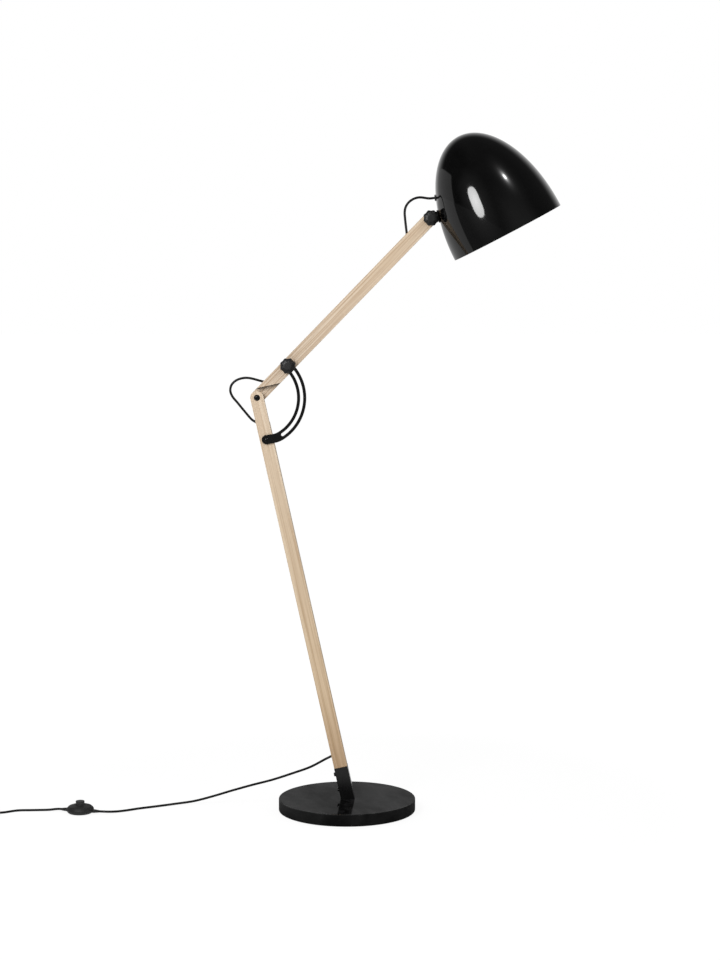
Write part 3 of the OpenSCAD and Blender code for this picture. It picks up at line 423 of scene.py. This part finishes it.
def eased(node, name, edge, rings, angle=38):
    """Copy of a CAD piece, welded and cleared of flat seams, with its sharp edges rounded over."""
    mesh = nodes[node].data.copy()
    mesh.materials.clear()
    mesh.name = name
    piece = bpy.data.objects.new(name, mesh)
    bpy.context.scene.collection.objects.link(piece)
    edit(piece)
    bpy.ops.mesh.select_all(action="SELECT")
    bpy.ops.mesh.remove_doubles(threshold=1e-6)
    bpy.ops.mesh.dissolve_limited(angle_limit=math.radians(0.6))
    take(piece)
    bpy.ops.object.modifier_add(type="BEVEL")
    bevel = piece.modifiers[-1]
    bevel.width, bevel.segments = edge * MM, rings
    bevel.limit_method, bevel.angle_limit = "ANGLE", math.radians(angle)
    bevel.use_clamp_overlap = False
    bevel.miter_outer = "MITER_ARC"
    bpy.ops.object.modifier_apply(modifier=bevel.name)
    return smoothed(piece, angle)


# Cords: the same smooth route as the solids, with its bends as curve handles
def pace(a, b):
    return math.sqrt((b - a).length)


def flow(a, b, c, d):
    """Slopes at both ends of the stretch from b to c."""
    ab, bc, cd = pace(a, b), pace(b, c), pace(c, d)
    m = c - b + bc * ((b - a) / ab - (c - a) / (ab + bc)) if ab > 0 else c - b
    n = c - b + bc * ((d - c) / cd - (d - b) / (bc + cd)) if cd > 0 else c - b
    return m, n


def cord_curve(name, route, steps=6):
    curve = bpy.data.curves.new(name, "CURVE")
    curve.dimensions, curve.resolution_u = "3D", steps
    curve.bevel_depth, curve.bevel_resolution, curve.use_fill_caps = CORD_R * MM, 4, True
    spline = curve.splines.new("BEZIER")
    spline.bezier_points.add(len(route) - 1)
    last = len(route) - 1
    points = [Vector(p) * MM for p in route]
    for i, point in enumerate(spline.bezier_points):
        point.handle_left_type = point.handle_right_type = "FREE"
        point.co = point.handle_left = point.handle_right = points[i]
    for i in range(last):
        m, n = flow(points[max(i - 1, 0)], points[i], points[i + 1], points[min(i + 2, last)])
        spline.bezier_points[i].handle_right = points[i] + m / 3
        spline.bezier_points[i + 1].handle_left = points[i + 1] - n / 3
    piece = bpy.data.objects.new(name, curve)
    bpy.context.scene.collection.objects.link(piece)
    return piece


def centreline(piece, steps=8):
    """Points along a cord's curve, and their length, in metres."""
    line = []
    points = piece.data.splines[0].bezier_points
    for p, q in zip(points, points[1:]):
        for k in range(steps):
            t = k / steps
            line.append(p.co * (1 - t) ** 3 + p.handle_right * 3 * t * (1 - t) ** 2
                        + q.handle_left * 3 * t * t * (1 - t) + q.co * t ** 3)
    line.append(points[-1].co.copy())
    return line, sum((b - a).length for a, b in zip(line, line[1:]))


def cord_tube(name, route):
    """A cord loop at a joint: a mesh tube, with the line it follows."""
    piece = cord_curve(name, route, 5)
    line, length = centreline(piece)
    take(piece)
    bpy.ops.object.convert(target="MESH")
    piece = bpy.context.object
    piece.name = piece.data.name = name
    edit(piece)
    bpy.ops.mesh.select_all(action="SELECT")
    bpy.ops.mesh.remove_doubles(threshold=1e-6)
    bpy.ops.mesh.normals_make_consistent(inside=False)
    take(piece)
    bpy.ops.object.shade_smooth_by_angle(angle=math.radians(50))
    piece.data.materials.append(CORD_SHEATH)
    return piece, line, length


def bar_exit(bar, z, tilt, out):
    """Point on a cord's way out of a bar's left side: out is measured from the wood."""
    a = math.radians(tilt)
    return at(bar, -HALF - out * math.cos(a), z + out * math.sin(a))


def by_shade(out):
    return at(SHADE, *by_wall(GROMMET_H, out))


def by_switch(side, out):
    return at(SWITCH, side * out, SWITCH_CORD_Z)


# Where the cord leaves the bars: the bar, the height along it, and how far the way out tilts up
FLOOR_EXIT, POST_EXIT = (POST, 98.5, -14), (POST, 851, 45)
ARM_ENTRY, ARM_EXIT = (ARM, 33.5, -29), (ARM, 477, 39)
HIDDEN, INSIDE = -6, -2
elbow_route = [bar_exit(*POST_EXIT, out) for out in (HIDDEN, 4, 10)]
elbow_route += [at(ELBOW, x, z) for x, z in ((-35, -20), (-44, -2), (-52, 14), (-53.5, 26.5), (-48.3, 38),
                                             (-36.8, 45.3), (-22, 47.3), (-8, 44.6))]
elbow_route += [bar_exit(*ARM_ENTRY, out) for out in (9, 4, HIDDEN)]
head_route = [bar_exit(*ARM_EXIT, out) for out in (HIDDEN, 4, 11)]
head_route += [at(HEAD, x, z) for x, z in ((-39, -39), (-48, -31), (-54, -23), (-57, -14), (-57, -4),
                                           (-54, 6), (-48, 15))]
head_route += [by_shade(out) for out in (14, GROMMET_OUT, -3)]
floor_route = [bar_exit(*FLOOR_EXIT, out) for out in (HIDDEN, 4, 16)]
floor_route += [(-80, 4, 95.8), (-120, 12, 79.5), (-165, 24, 62), (-210, 38, 47), (-255, 50, 31.5),
                (-300, 56, 16.5), (-340, 54, 6.5), (-380, 42, 3.4), (-420, 22, 2.8), (-460, 1, 2.8),
                (-485, -15.5, 2.9), (-502, -26.5, 3.6), (-519, -34.8, 5)]
floor_route += [by_switch(1, out) for out in (RELIEF_END + 8, RELIEF_END - 2)]
COIL_PARTS = 24


def coil_point(t):
    """Point after t turns from the coil's middle: it winds inwards, steps up a layer, and winds out again."""
    r, up = COIL_IN + COIL_STEP * abs(t), min(max(0.5 + 2 * t, 0), 1)
    a = 2 * math.pi * t
    return COIL_X - r * math.sin(a), COIL_Y - r * math.cos(a), COIL_LOW + COIL_LAYER * (3 - 2 * up) * up * up


coil_start, coil_end = Vector(coil_point(-COIL_TURNS)), Vector(coil_point(COIL_TURNS))
lead_route = [by_switch(-1, out) for out in (RELIEF_END - 2, RELIEF_END + 9)]
lead_route += [(-655, -11.5, 3.4), (-690, -12.5, 2.8), (-723, -15.5, 2.8), (-752, -33.5, 3), (-775, -38, 3.3)]
lead_route += [coil_start + Vector((out, 0, 0)) for out in (31.2, 15.6, 5.2)]
coil_half = COIL_PARTS * COIL_TURNS
lead_route += [coil_point(k / COIL_PARTS) for k in range(-coil_half, coil_half + 1)]
lead_route += [coil_end - Vector((out, 0, 0)) for out in (5.2, 20)] + [coil_end - Vector((45, 0, 2))]
lead_route += [Vector(PLUG_END) + Vector((15, 0, 0)), PLUG_END]

# Cord loops at the elbow and the head: mesh tubes that stand in for the CAD loops, which are hidden
elbow_loop, elbow_line, elbow_length = cord_tube("elbow_cord_loop", elbow_route)
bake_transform(elbow_loop)
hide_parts("elbow_cord")
head_loop, head_line, head_length = cord_tube("head_cord_loop", head_route)
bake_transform(head_loop)
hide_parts("head_cord")
floor_lead = dress(cord_curve("floor_cord_lead", floor_route), "base", "cord_sheath", CORD_SHEATH,
                   "floor_cord")
coiled_lead = dress(cord_curve("coiled_cord_lead", lead_route), "base", "cord_sheath", CORD_SHEATH,
                    "switch_cord", "cord_coil", "plug_cord")

# Cord inside the wood and the shade
BORE_X = -(CLAMP_R + CORD_R + CORD_PLAY + BORE_WALL)
BORE_BEND, BORE_TURN, BORE_PARTS = 3, 4, 12


def inside_bar(name, low_exit, high_exit, body, node):
    """Cord in a bar's bore, from just inside one exit to just inside the other."""
    bar = low_exit[0]
    corners, bends = [], []
    for _, z, tilt in (low_exit, high_exit):
        slant = math.tan(math.radians(tilt))
        corner = z - (HALF + BORE_X) * slant
        corners.append(corner)
        bends.append(at(bar, BORE_X - BORE_BEND, corner + BORE_BEND * slant))
    low, high = corners
    climb = high - low - 2 * BORE_TURN
    route = [bar_exit(*low_exit, INSIDE), bends[0]]
    route += [at(bar, BORE_X, low + BORE_TURN + climb * k / BORE_PARTS) for k in range(BORE_PARTS + 1)]
    route += [bends[1], bar_exit(*high_exit, INSIDE)]
    return dress(cord_curve(name, route, 3), body, "cord_sheath", CORD_SHEATH, node)


inside_bar("cord_inside_post", FLOOR_EXIT, POST_EXIT, "base", "cord_in_post")
inside_bar("cord_inside_arm", ARM_ENTRY, ARM_EXIT, "arm", "cord_in_arm")
shade_route = [by_shade(out) for out in (2, -4)]
shade_route += [at(SHADE, x, h) for x, h in ((-91, 135), (-80, 144), (-69, 160), (-57, 179), (-42, 195),
                                             (-25, 205), (-10, 203), (-1.5, 195), (0, 186), (0, 175.5))]
dress(cord_curve("cord_inside_shade", shade_route), "head", "cord_sheath", CORD_SHEATH, "cord_in_shade")

# Base
base_outline = rounded([(0, BASE_H), (BASE_D / 2, BASE_H), (BASE_D / 2, FELT), (0, FELT)], 2, 5)
stone = spun("stone_base", base_outline, 192)
dress(settle(stone, UPRIGHT), "base", "stone", STONE, "marble_base")
felt_r = BASE_D / 2 - FELT_INSET
felt = spun("felt_pad", rounded([(0, FELT), (felt_r, FELT), (felt_r, 0), (0, 0)], 0.6, 3), 128)
dress(settle(felt, UPRIGHT), "base", "felt", FELT_CLOTH, "base_felt")

# Wood, steel and small pieces
EASED = (
    ("post", "wooden_post", 0.8, 3, "base", "post_wood", POST_WOOD),
    ("arm", "wooden_arm", 0.8, 3, "arm", "arm_wood", ARM_WOOD),
    ("post_socket", "foot_socket", 0.5, 2, "base", "black_steel", BLACK_STEEL),
    ("socket_screws", "foot_screws", 0.25, 2, "base", "black_steel", BLACK_STEEL),
    ("arc_plate", "slotted_arc", 0.4, 2, "base", "black_steel", BLACK_STEEL),
    ("arc_screw", "arc_foot_screw", 0.25, 2, "base", "black_steel", BLACK_STEEL),
    ("elbow_bolt", "elbow_pivot_bolt", 0.3, 2, "base", "black_steel", BLACK_STEEL),
    ("elbow_nut", "elbow_cap_nut", 0.3, 2, "base", "black_steel", BLACK_STEEL),
    ("elbow_back_washer", "elbow_rear_washer", 0.15, 1, "base", "steel", PLATED_STEEL),
    ("elbow_clamp_bolt", "elbow_clamp_screw", 0.3, 2, "arm", "black_steel", BLACK_STEEL),
    ("elbow_clamp_washers", "elbow_clamp_rings", 0.15, 1, "arm", "steel", PLATED_STEEL),
    ("head_clamp_bolt", "head_clamp_screw", 0.3, 2, "arm", "black_steel", BLACK_STEEL),
    ("head_washer", "head_clamp_ring", 0.15, 1, "arm", "steel", PLATED_STEEL),
    ("shade_bracket", "shade_hinge_block", 0.6, 2, "head", "black_steel", BLACK_STEEL),
    ("bracket_screws", "hinge_block_screws", 0.2, 2, "head", "steel", PLATED_STEEL),
    ("holder_strap", "bent_holder_strap", 0.4, 2, "head", "steel", PLATED_STEEL),
    ("holder_nut", "holder_lock_nut", 0.25, 2, "head", "steel", PLATED_STEEL),
    ("holder_nipple", "threaded_nipple", 0.2, 1, "head", "brass", BRASS),
    ("shade_grommet", "cord_grommet", 0.4, 2, "head", "soft_rubber", SOFT_RUBBER),
    ("plug_body", "flat_plug_body", 2.4, 4, "base", "plug_plastic", PLUG_PLASTIC),
    ("plug_pins", "round_plug_pins", 0.2, 1, "base", "steel", PLATED_STEEL),
    ("coil_tie", "coil_tie_strap", 0.2, 1, "base", "tie", TIE_NYLON),
)
for node, name, edge, rings, body, slot, finish in EASED:
    dress(eased(node, name, edge, rings), body, slot, finish, node)

# Scalloped clamp knobs: one is modelled, the other is its copy
LOBES, LOBE_DEPTH, KNOB_SIDES = 8, 0.05, 128
KNOB_TOP = HUB_H + KNOB_H
knob_outline = rounded([(3.1, 0), (HUB_R, 0), (HUB_R, HUB_H), (KNOB_R - 0.2, HUB_H), (KNOB_R, HUB_H + 3),
                        (KNOB_R, KNOB_TOP - 6.4), (KNOB_R - 1.6, KNOB_TOP - 4), (KNOB_R - 4, KNOB_TOP - 2),
                        (KNOB_R - 7, KNOB_TOP - 0.7), (7.6, KNOB_TOP), (0, KNOB_TOP)], 1.4, 4)
knob = spun("elbow_clamp_knob", knob_outline, KNOB_SIDES)
STEP = 2 * math.pi / KNOB_SIDES
PER_LOBE = KNOB_SIDES // LOBES
for k in range(PER_LOBE // 2):
    share = 1 - LOBE_DEPTH * (1 + math.cos(2 * math.pi * k / PER_LOBE))

    def in_valley(co, k=k):
        if math.hypot(co.x, co.y) < HUB_R + 1:
            return False
        slot_of = round(math.atan2(co.y, co.x) / STEP) % PER_LOBE
        return slot_of in (k, (PER_LOBE - k) % PER_LOBE)
    select_by_place(knob, in_valley)
    bpy.ops.transform.resize(value=(share, share, 1), center_override=(0, 0, 0))
take(knob)
bpy.ops.object.duplicate()
second_knob = bpy.context.object
second_knob.name = second_knob.data.name = "head_clamp_knob"
settle(knob, ARM @ Matrix.Translation((0, ELBOW_KNOB_Y, ARC_R)) @ TO_FRONT, 40)
settle(second_knob, HEAD @ Matrix.Translation((0, HEAD_KNOB_Y, 0)) @ TO_FRONT, 40)
dress(knob, "elbow_knob", "knob_plastic", KNOB_PLASTIC, "elbow_knob")
dress(second_knob, "head_knob", "knob_plastic", KNOB_PLASTIC, "head_knob")

# Shade: spun sheet, gloss black outside and white inside
CROWN_STEPS = 48
crown = []
for k in range(CROWN_STEPS):
    a = math.pi / 2 * k / CROWN_STEPS
    crown.append((SHADE_R * math.cos(a), SHADE_H * math.sin(a)))
crown.append((0, SHADE_H))
shade = spun("spun_shade", crown, 192)
take(shade)
bpy.ops.object.modifier_add(type="SOLIDIFY")
wall = shade.modifiers[-1]
wall.thickness, wall.offset = SHADE_WALL, -1
wall.material_offset, wall.material_offset_rim = 1, 0
shade.data.materials.append(GLOSS_BLACK)
shade.data.materials.append(WHITE_LINING)
bpy.ops.object.modifier_apply(modifier=wall.name)
settle(shade, SHADE, 40)
dress(shade, "head", "shade_paint", (), "shade")

# Lamp holder and bulb
top = STRAP_H - STRAP_T
cap_outline = [(5.1, top), (12, top), (HOLDER_R, top - 10), (HOLDER_R, top - CAP_LEN),
               (HOLDER_R - 2, top - CAP_LEN)]
cap = spun("holder_cap_shell", rounded(cap_outline, 3, 5))
dress(settle(cap, SHADE), "head", "holder_plastic", HOLDER_PLASTIC, "holder_cap")
sleeve_top, sleeve_end = top - CAP_LEN, top - CAP_LEN - SLEEVE_LEN
WAIST_R, RIB_R, RIBS, RIB_PITCH = HOLDER_R - 1.5, HOLDER_R - 0.7, 5, 3.4
BORE_R, BORE_DEPTH = NECK_R + 0.4, 20
ribs = []
for k in range(RIBS):
    z = sleeve_top - 9 - RIB_PITCH * k
    ribs += [(WAIST_R, z), (RIB_R, z - 0.8), (RIB_R, z - 1.8), (WAIST_R, z - 2.6)]
sleeve_outline = [(HOLDER_R - 0.4, sleeve_top), (HOLDER_R, sleeve_top - 0.5), (HOLDER_R, sleeve_top - 6),
                  (WAIST_R, sleeve_top - 8), *ribs, (WAIST_R, sleeve_end + 6), (HOLDER_R, sleeve_end + 4),
                  (HOLDER_R, sleeve_end), (BORE_R, sleeve_end), (BORE_R, sleeve_end + BORE_DEPTH)]
sleeve = spun("holder_sleeve_shell", [(HOLDER_R - 3, sleeve_top), *rounded(sleeve_outline, 0.6, 3)])
dress(settle(sleeve, SHADE), "head", "holder_plastic", HOLDER_PLASTIC, "holder_sleeve")
middle = sleeve_end - BULB_LONG
pear = [(NECK_R, sleeve_end + 2), (NECK_R, sleeve_end - NECK_LEN)]
pear += [(BULB_R * math.cos(math.radians(a)), middle + BULB_R * math.sin(math.radians(a)))
         for a in range(46, -90, -4)] + [(0, middle - BULB_R)]
bulb = spun("opal_bulb", [(0, sleeve_end + 2)] + rounded(pear[:4], 5, 5)[:-1] + pear[3:])
dress(settle(bulb, SHADE), "head", "bulb_glass", OPAL_GLASS, "bulb_globe")

# Foot switch
SEAM = 8.5
under = [(0, 0), (21.6, 0), (25.8, 1.2), (28.5, 4), (29.7, SEAM - 0.9), (29.7, SEAM), (20, SEAM)]
plate = spun("switch_floor_plate", rounded(under, 2.2, 4), 112)
dress(settle(plate, SWITCH), "base", "switch_plastic", SWITCH_PLASTIC, "switch_base")
over = [(20, SEAM), (SWITCH_R, SEAM), (SWITCH_R, SEAM + 0.9), (28.8, 12), (24.9, 16), (18.6, 18),
        (12.9, 19.4), (11.3, 19.7), (11.3, 21), (10.2, 21), (10.2, 15.5)]
cover = spun("switch_top_shell", rounded(over, 1.6, 4), 112)
dress(settle(cover, SWITCH, 30), "base", "switch_plastic", SWITCH_PLASTIC, "switch_cover")
press = [(0, 26.6), (5, 26.9), (8.3, 27.5), (9.8, 26.9), (9.4, 23.6), (9.8, 20), (9.8, 16.6), (11.6, 16.6),
         (11.6, 15.1), (0, 15.1)]
button = spun("switch_push_button", rounded(press, 1, 4))
dress(settle(button, SWITCH, 30), "switch_button", "switch_plastic", BUTTON_LIT_PLASTIC, "switch_button")


def relief(name, start, length, thick, thin, collars):
    """Tapered strain relief, ribbed along its taper; drawn along Z from the housing."""
    outline = [(0, 0), (thick, 0), (thick, start)]
    for k in range(collars):
        a = start + (length - start - 1.5) * k / collars
        b = start + (length - start - 1.5) * (k + 0.55) / collars
        ra, rb = (thick + (thin - thick) * (z - start) / (length - start) for z in (a, b))
        outline += [(ra, a), (rb, b), (rb - 0.45, b + 0.25), (rb - 0.45, b + 0.75)]
    outline += [(thin, length - 1), (thin, length), (0, length)]
    return spun(name, rounded(outline, 0.2, 2), 48)


ALONG_X = Matrix.Rotation(math.radians(90), 4, "Y")
RELIEF_LEN, RELIEF_INSIDE, PLUG_RELIEF = 20, 8, 26
for side, name in ((0, "switch_relief_right"), (180, "switch_relief_left")):
    sleeve_piece = relief(name, RELIEF_INSIDE + 1.5, RELIEF_LEN, CORD_R + 1.5, CORD_R + 0.5, 4)
    turned = SWITCH @ Matrix.Rotation(math.radians(side), 4, "Z")
    outlet = Matrix.Translation((SWITCH_R - RELIEF_INSIDE, 0, SWITCH_CORD_Z))
    settle(sleeve_piece, turned @ outlet @ ALONG_X, 30)
    dress(sleeve_piece, "base", "soft_rubber", SOFT_RUBBER, "switch_reliefs")
plug_sleeve = relief("plug_relief", 0.2, PLUG_RELIEF, CORD_R + 0.6, CORD_R + 2.2, 6)
dress(settle(plug_sleeve, PLUG @ ALONG_X, 30), "base", "soft_rubber", SOFT_RUBBER, "plug_relief_sleeve")

# CAD pieces that stay
for node, finish in (("base_bolt", PLATED_STEEL), ("base_washer", PLATED_STEEL), ("arc_spacer", PLATED_STEEL),
                     ("elbow_washer", NYLON), ("bulb_cap", PLATED_STEEL), ("switch_spring", PLATED_STEEL),
                     ("switch_screws", PLATED_STEEL)):
    for slot in nodes[node].material_slots:
        slot.material = finish


# Floor, surroundings and lights; levels are against white paper
FLOOR_PAINT, FLOOR_SHARE, FLOOR_NEAR, FLOOR_FAR = 0.85, 0.86, 1.052, 1.09
ROOM_FILL, BACKDROP_WHITE, PANEL_WHITE, SWEEP_WHITE, FLAG_GREY = 0.62, 0.86, 0.52, 0.6, 0.14


class Stage:
    """Node tree of the floor or of the surroundings."""

    def __init__(self, owner):
        owner.use_nodes = True
        self.tree = owner.node_tree
        self.tree.nodes.clear()
        self.path = self.node("LightPath").outputs

    def node(self, kind, **settings):
        made = self.tree.nodes.new("ShaderNode" + kind)
        for key, value in settings.items():
            setattr(made, key, value)
        return made

    def feed(self, socket, value):
        if isinstance(value, bpy.types.NodeSocket):
            self.tree.links.new(value, socket)
        else:
            socket.default_value = value

    def math(self, how, first, second):
        made = self.node("Math", operation=how)
        self.feed(made.inputs[0], first)
        self.feed(made.inputs[1], second)
        return made.outputs[0]

    def slope(self, value, low, high, new_low=0.0, new_high=1.0):
        made = self.node("MapRange", interpolation_type="SMOOTHSTEP")
        for socket, amount in zip(made.inputs, (value, low, high, new_low, new_high)):
            self.feed(socket, amount)
        return made.outputs["Result"]

    def glow(self, kind, strength):
        made = self.node(kind)
        made.inputs["Color"].default_value = (1, 1, 1, 1)
        self.feed(made.inputs["Strength"], strength)
        return made.outputs[0]

    def away(self):
        """Distance from the object's own middle."""
        made = self.node("VectorMath", operation="LENGTH")
        self.feed(made.inputs[0], self.node("TexCoord").outputs["Object"])
        return made.outputs["Value"]

    def choose(self, factor, first, second):
        made = self.node("MixShader")
        for socket, value in zip(made.inputs, (factor, first, second)):
            self.feed(socket, value)
        return made.outputs[0]


def studio_floor():
    """White to the camera with a soft shadow; reflections see a white sweep that ends beside the lamp."""
    clear()
    bpy.ops.mesh.primitive_grid_add(x_subdivisions=4, y_subdivisions=4, size=60)
    floor = bpy.context.object
    floor.name = "studio_floor"
    paint = bpy.data.materials.new("studio_floor_paint")
    stage = Stage(paint)
    matt = stage.node("BsdfDiffuse")
    matt.inputs["Color"].default_value = (*grey(FLOOR_PAINT), 1)
    split = stage.node("SeparateXYZ")
    stage.feed(split.inputs[0], stage.node("TexCoord").outputs["Object"])
    away = stage.away()
    # In reflections the floor is dim right round the base, as its painted shadow, brighter in a band beyond
    # and dim far in front
    shaded_near_floor = stage.math("MULTIPLY", stage.slope(away, 0.27, 0.33, 0.1, 0.52),
                      stage.slope(away, 0.55, 1.0, 1.0, 0.25))
    shaded_near_floor = stage.math("MULTIPLY", shaded_near_floor, stage.slope(split.outputs["X"], 0.02, 0.3, 1.0, 0.5))
    front = stage.slope(split.outputs["X"], -1.3, -0.3, -0.38, 0.2)
    behind = stage.math("SUBTRACT", split.outputs["Y"], front)
    sweep = stage.slope(behind, -0.03, 0.03, shaded_near_floor, SWEEP_WHITE)
    mirrored = stage.choose(stage.path["Is Glossy Ray"], matt.outputs[0], stage.glow("Emission", sweep))
    lift = stage.slope(away, 0.65, 1.1, FLOOR_NEAR, FLOOR_FAR)
    shown = stage.choose(FLOOR_SHARE, matt.outputs[0], stage.glow("Emission", lift))
    out = stage.node("OutputMaterial")
    stage.feed(out.inputs["Surface"], stage.choose(stage.path["Is Camera Ray"], mirrored, shown))
    paint.cycles.emission_sampling = "NONE"
    floor.data.materials.append(paint)


def studio_world():
    """White all round for the camera; in reflections a white backdrop, a side panel and a dim room."""
    world = bpy.data.worlds.new("studio")
    bpy.context.scene.world = world
    stage = Stage(world)
    axes = stage.node("SeparateXYZ")
    stage.feed(axes.inputs[0], stage.node("TexCoord").outputs["Generated"])
    x, y, z = axes.outputs
    front = stage.math("MULTIPLY", stage.slope(x, -0.25, 0.35), stage.slope(y, -0.3, -0.7))
    front = stage.math("MULTIPLY", front, stage.slope(z, 0.7, 0.25, 0.0, 0.16))
    dim = stage.math("ADD", front, stage.slope(x, -0.75, -0.3, 0.035, 0.075))
    backdrop = stage.slope(y, 0.5, 0.95, dim, BACKDROP_WHITE)
    inner = stage.math("SUBTRACT", y, stage.math("MULTIPLY", z, 0.12))
    upper = stage.math("ADD", z, stage.math("MULTIPLY", x, 0.31))
    panel = stage.math("MULTIPLY", stage.slope(x, -0.45, -0.6), stage.slope(inner, -0.055, -0.011))
    panel = stage.math("MULTIPLY", panel, stage.slope(upper, 0.012, -0.012, 0.0, PANEL_WHITE))
    room = stage.glow("Background", stage.math("MAXIMUM", backdrop, panel))
    lit = stage.choose(stage.path["Is Glossy Ray"], stage.glow("Background", ROOM_FILL), room)
    plain = stage.math("MAXIMUM", stage.path["Is Camera Ray"], stage.path["Is Transmission Ray"])
    out = stage.node("OutputWorld")
    stage.feed(out.inputs["Surface"], stage.choose(plain, lit, stage.glow("Background", 1.0)))


def dim_flag():
    """Low grey card behind the lamp that only reflections see: it keeps the polished base dark."""
    clear()
    bpy.ops.mesh.primitive_grid_add(x_subdivisions=2, y_subdivisions=2, size=1)
    card = bpy.context.object
    card.name = "dim_flag"
    card.dimensions = (1.6, 0.47, 0)
    card.rotation_euler = (math.radians(90), 0, 0)
    card.location = (0, 0.9, 0.265)
    card.visible_camera = card.visible_diffuse = card.visible_shadow = card.visible_transmission = False
    cloth = bpy.data.materials.new("dim_flag_cloth")
    stage = Stage(cloth)
    stage.feed(stage.node("OutputMaterial").inputs["Surface"], stage.glow("Emission", FLAG_GREY))
    cloth.cycles.emission_sampling = "NONE"
    card.data.materials.append(cloth)


def face(piece, target, direction, distance, roll=0):
    """Puts a flat light so that it faces a point from a direction, out of the camera's sight."""
    way = Vector(direction).normalized()
    piece.location = Vector(target) + way * distance
    piece.rotation_mode = "QUATERNION"
    spin = Matrix.Rotation(math.radians(roll), 4, "Z").to_quaternion()
    piece.rotation_quaternion = (-way).to_track_quat("Z", "Y") @ spin
    piece.visible_camera = False


def softbox(name, target, direction, distance, width, height, bright, roll, corner):
    """Flat light with cut corners, a little brighter in its middle."""
    clear()
    bpy.ops.mesh.primitive_plane_add(size=1)
    box = bpy.context.object
    box.name = name
    box.scale = (width, height, 1)
    bpy.ops.object.transform_apply(location=False, rotation=False, scale=True)
    edit(box)
    bpy.ops.mesh.select_all(action="SELECT")
    bpy.ops.mesh.bevel(affect="VERTICES", offset=corner, segments=3)
    take(box)
    cloth = bpy.data.materials.new(name + "_cloth")
    stage = Stage(cloth)
    front = stage.math("SUBTRACT", 1.0, stage.node("NewGeometry").outputs["Backfacing"])
    level = stage.slope(stage.away(), 0.0, 0.5 * height, 1.12 * bright, 0.9 * bright)
    stage.feed(stage.node("OutputMaterial").inputs["Surface"],
               stage.glow("Emission", stage.math("MULTIPLY", front, level)))
    cloth.cycles.emission_sampling = "FRONT"
    box.data.materials.append(cloth)
    face(box, target, direction, distance, roll)


def halo(name, target, direction, distance, reach, spread, bright, power):
    """Faint haze round a light, seen in reflections only; it halves at the spread and falls by a power."""
    clear()
    bpy.ops.mesh.primitive_circle_add(vertices=48, radius=reach, fill_type="NGON")
    disc = bpy.context.object
    disc.name = name
    haze = bpy.data.materials.new(name + "_haze")
    stage = Stage(haze)
    away = stage.away()
    part = stage.math("POWER", stage.math("DIVIDE", away, spread), power)
    fall = stage.math("DIVIDE", bright, stage.math("ADD", part, 1.0))
    gone = stage.slope(away, reach * 0.5, reach, 1.0, 0.0)
    lit = stage.glow("Emission", stage.math("MULTIPLY", fall, gone))
    both = stage.node("AddShader")
    stage.feed(both.inputs[0], lit)
    stage.feed(both.inputs[1], stage.node("BsdfTransparent").outputs[0])
    stage.feed(stage.node("OutputMaterial").inputs["Surface"], both.outputs[0])
    haze.cycles.emission_sampling = "NONE"
    disc.data.materials.append(haze)
    disc.visible_diffuse = disc.visible_shadow = disc.visible_transmission = False
    face(disc, target, direction, distance)


studio_floor()
studio_world()
dim_flag()
# Each light faces a point on the shade, from a direction
SIDE = (0.271, -0.112, 1.323), (-0.665, -0.74, 0.15)
TOP = (0.33, -0.104, 1.38), (0.38, -0.54, 0.75)
softbox("side_softbox", *SIDE, distance=1.8, width=0.64, height=0.8, bright=16.2, roll=-24, corner=0.25)
softbox("top_spot", *TOP, distance=2.6, width=0.17, height=0.17, bright=45, roll=0, corner=0.055)
halo("side_haze", *SIDE, distance=1.85, reach=1.5, spread=0.4, bright=0.45, power=2.0)
halo("spot_haze", *TOP, distance=2.65, reach=1.8, spread=0.12, bright=22, power=3.0)

bpy.context.scene.view_settings.view_transform = "Standard"
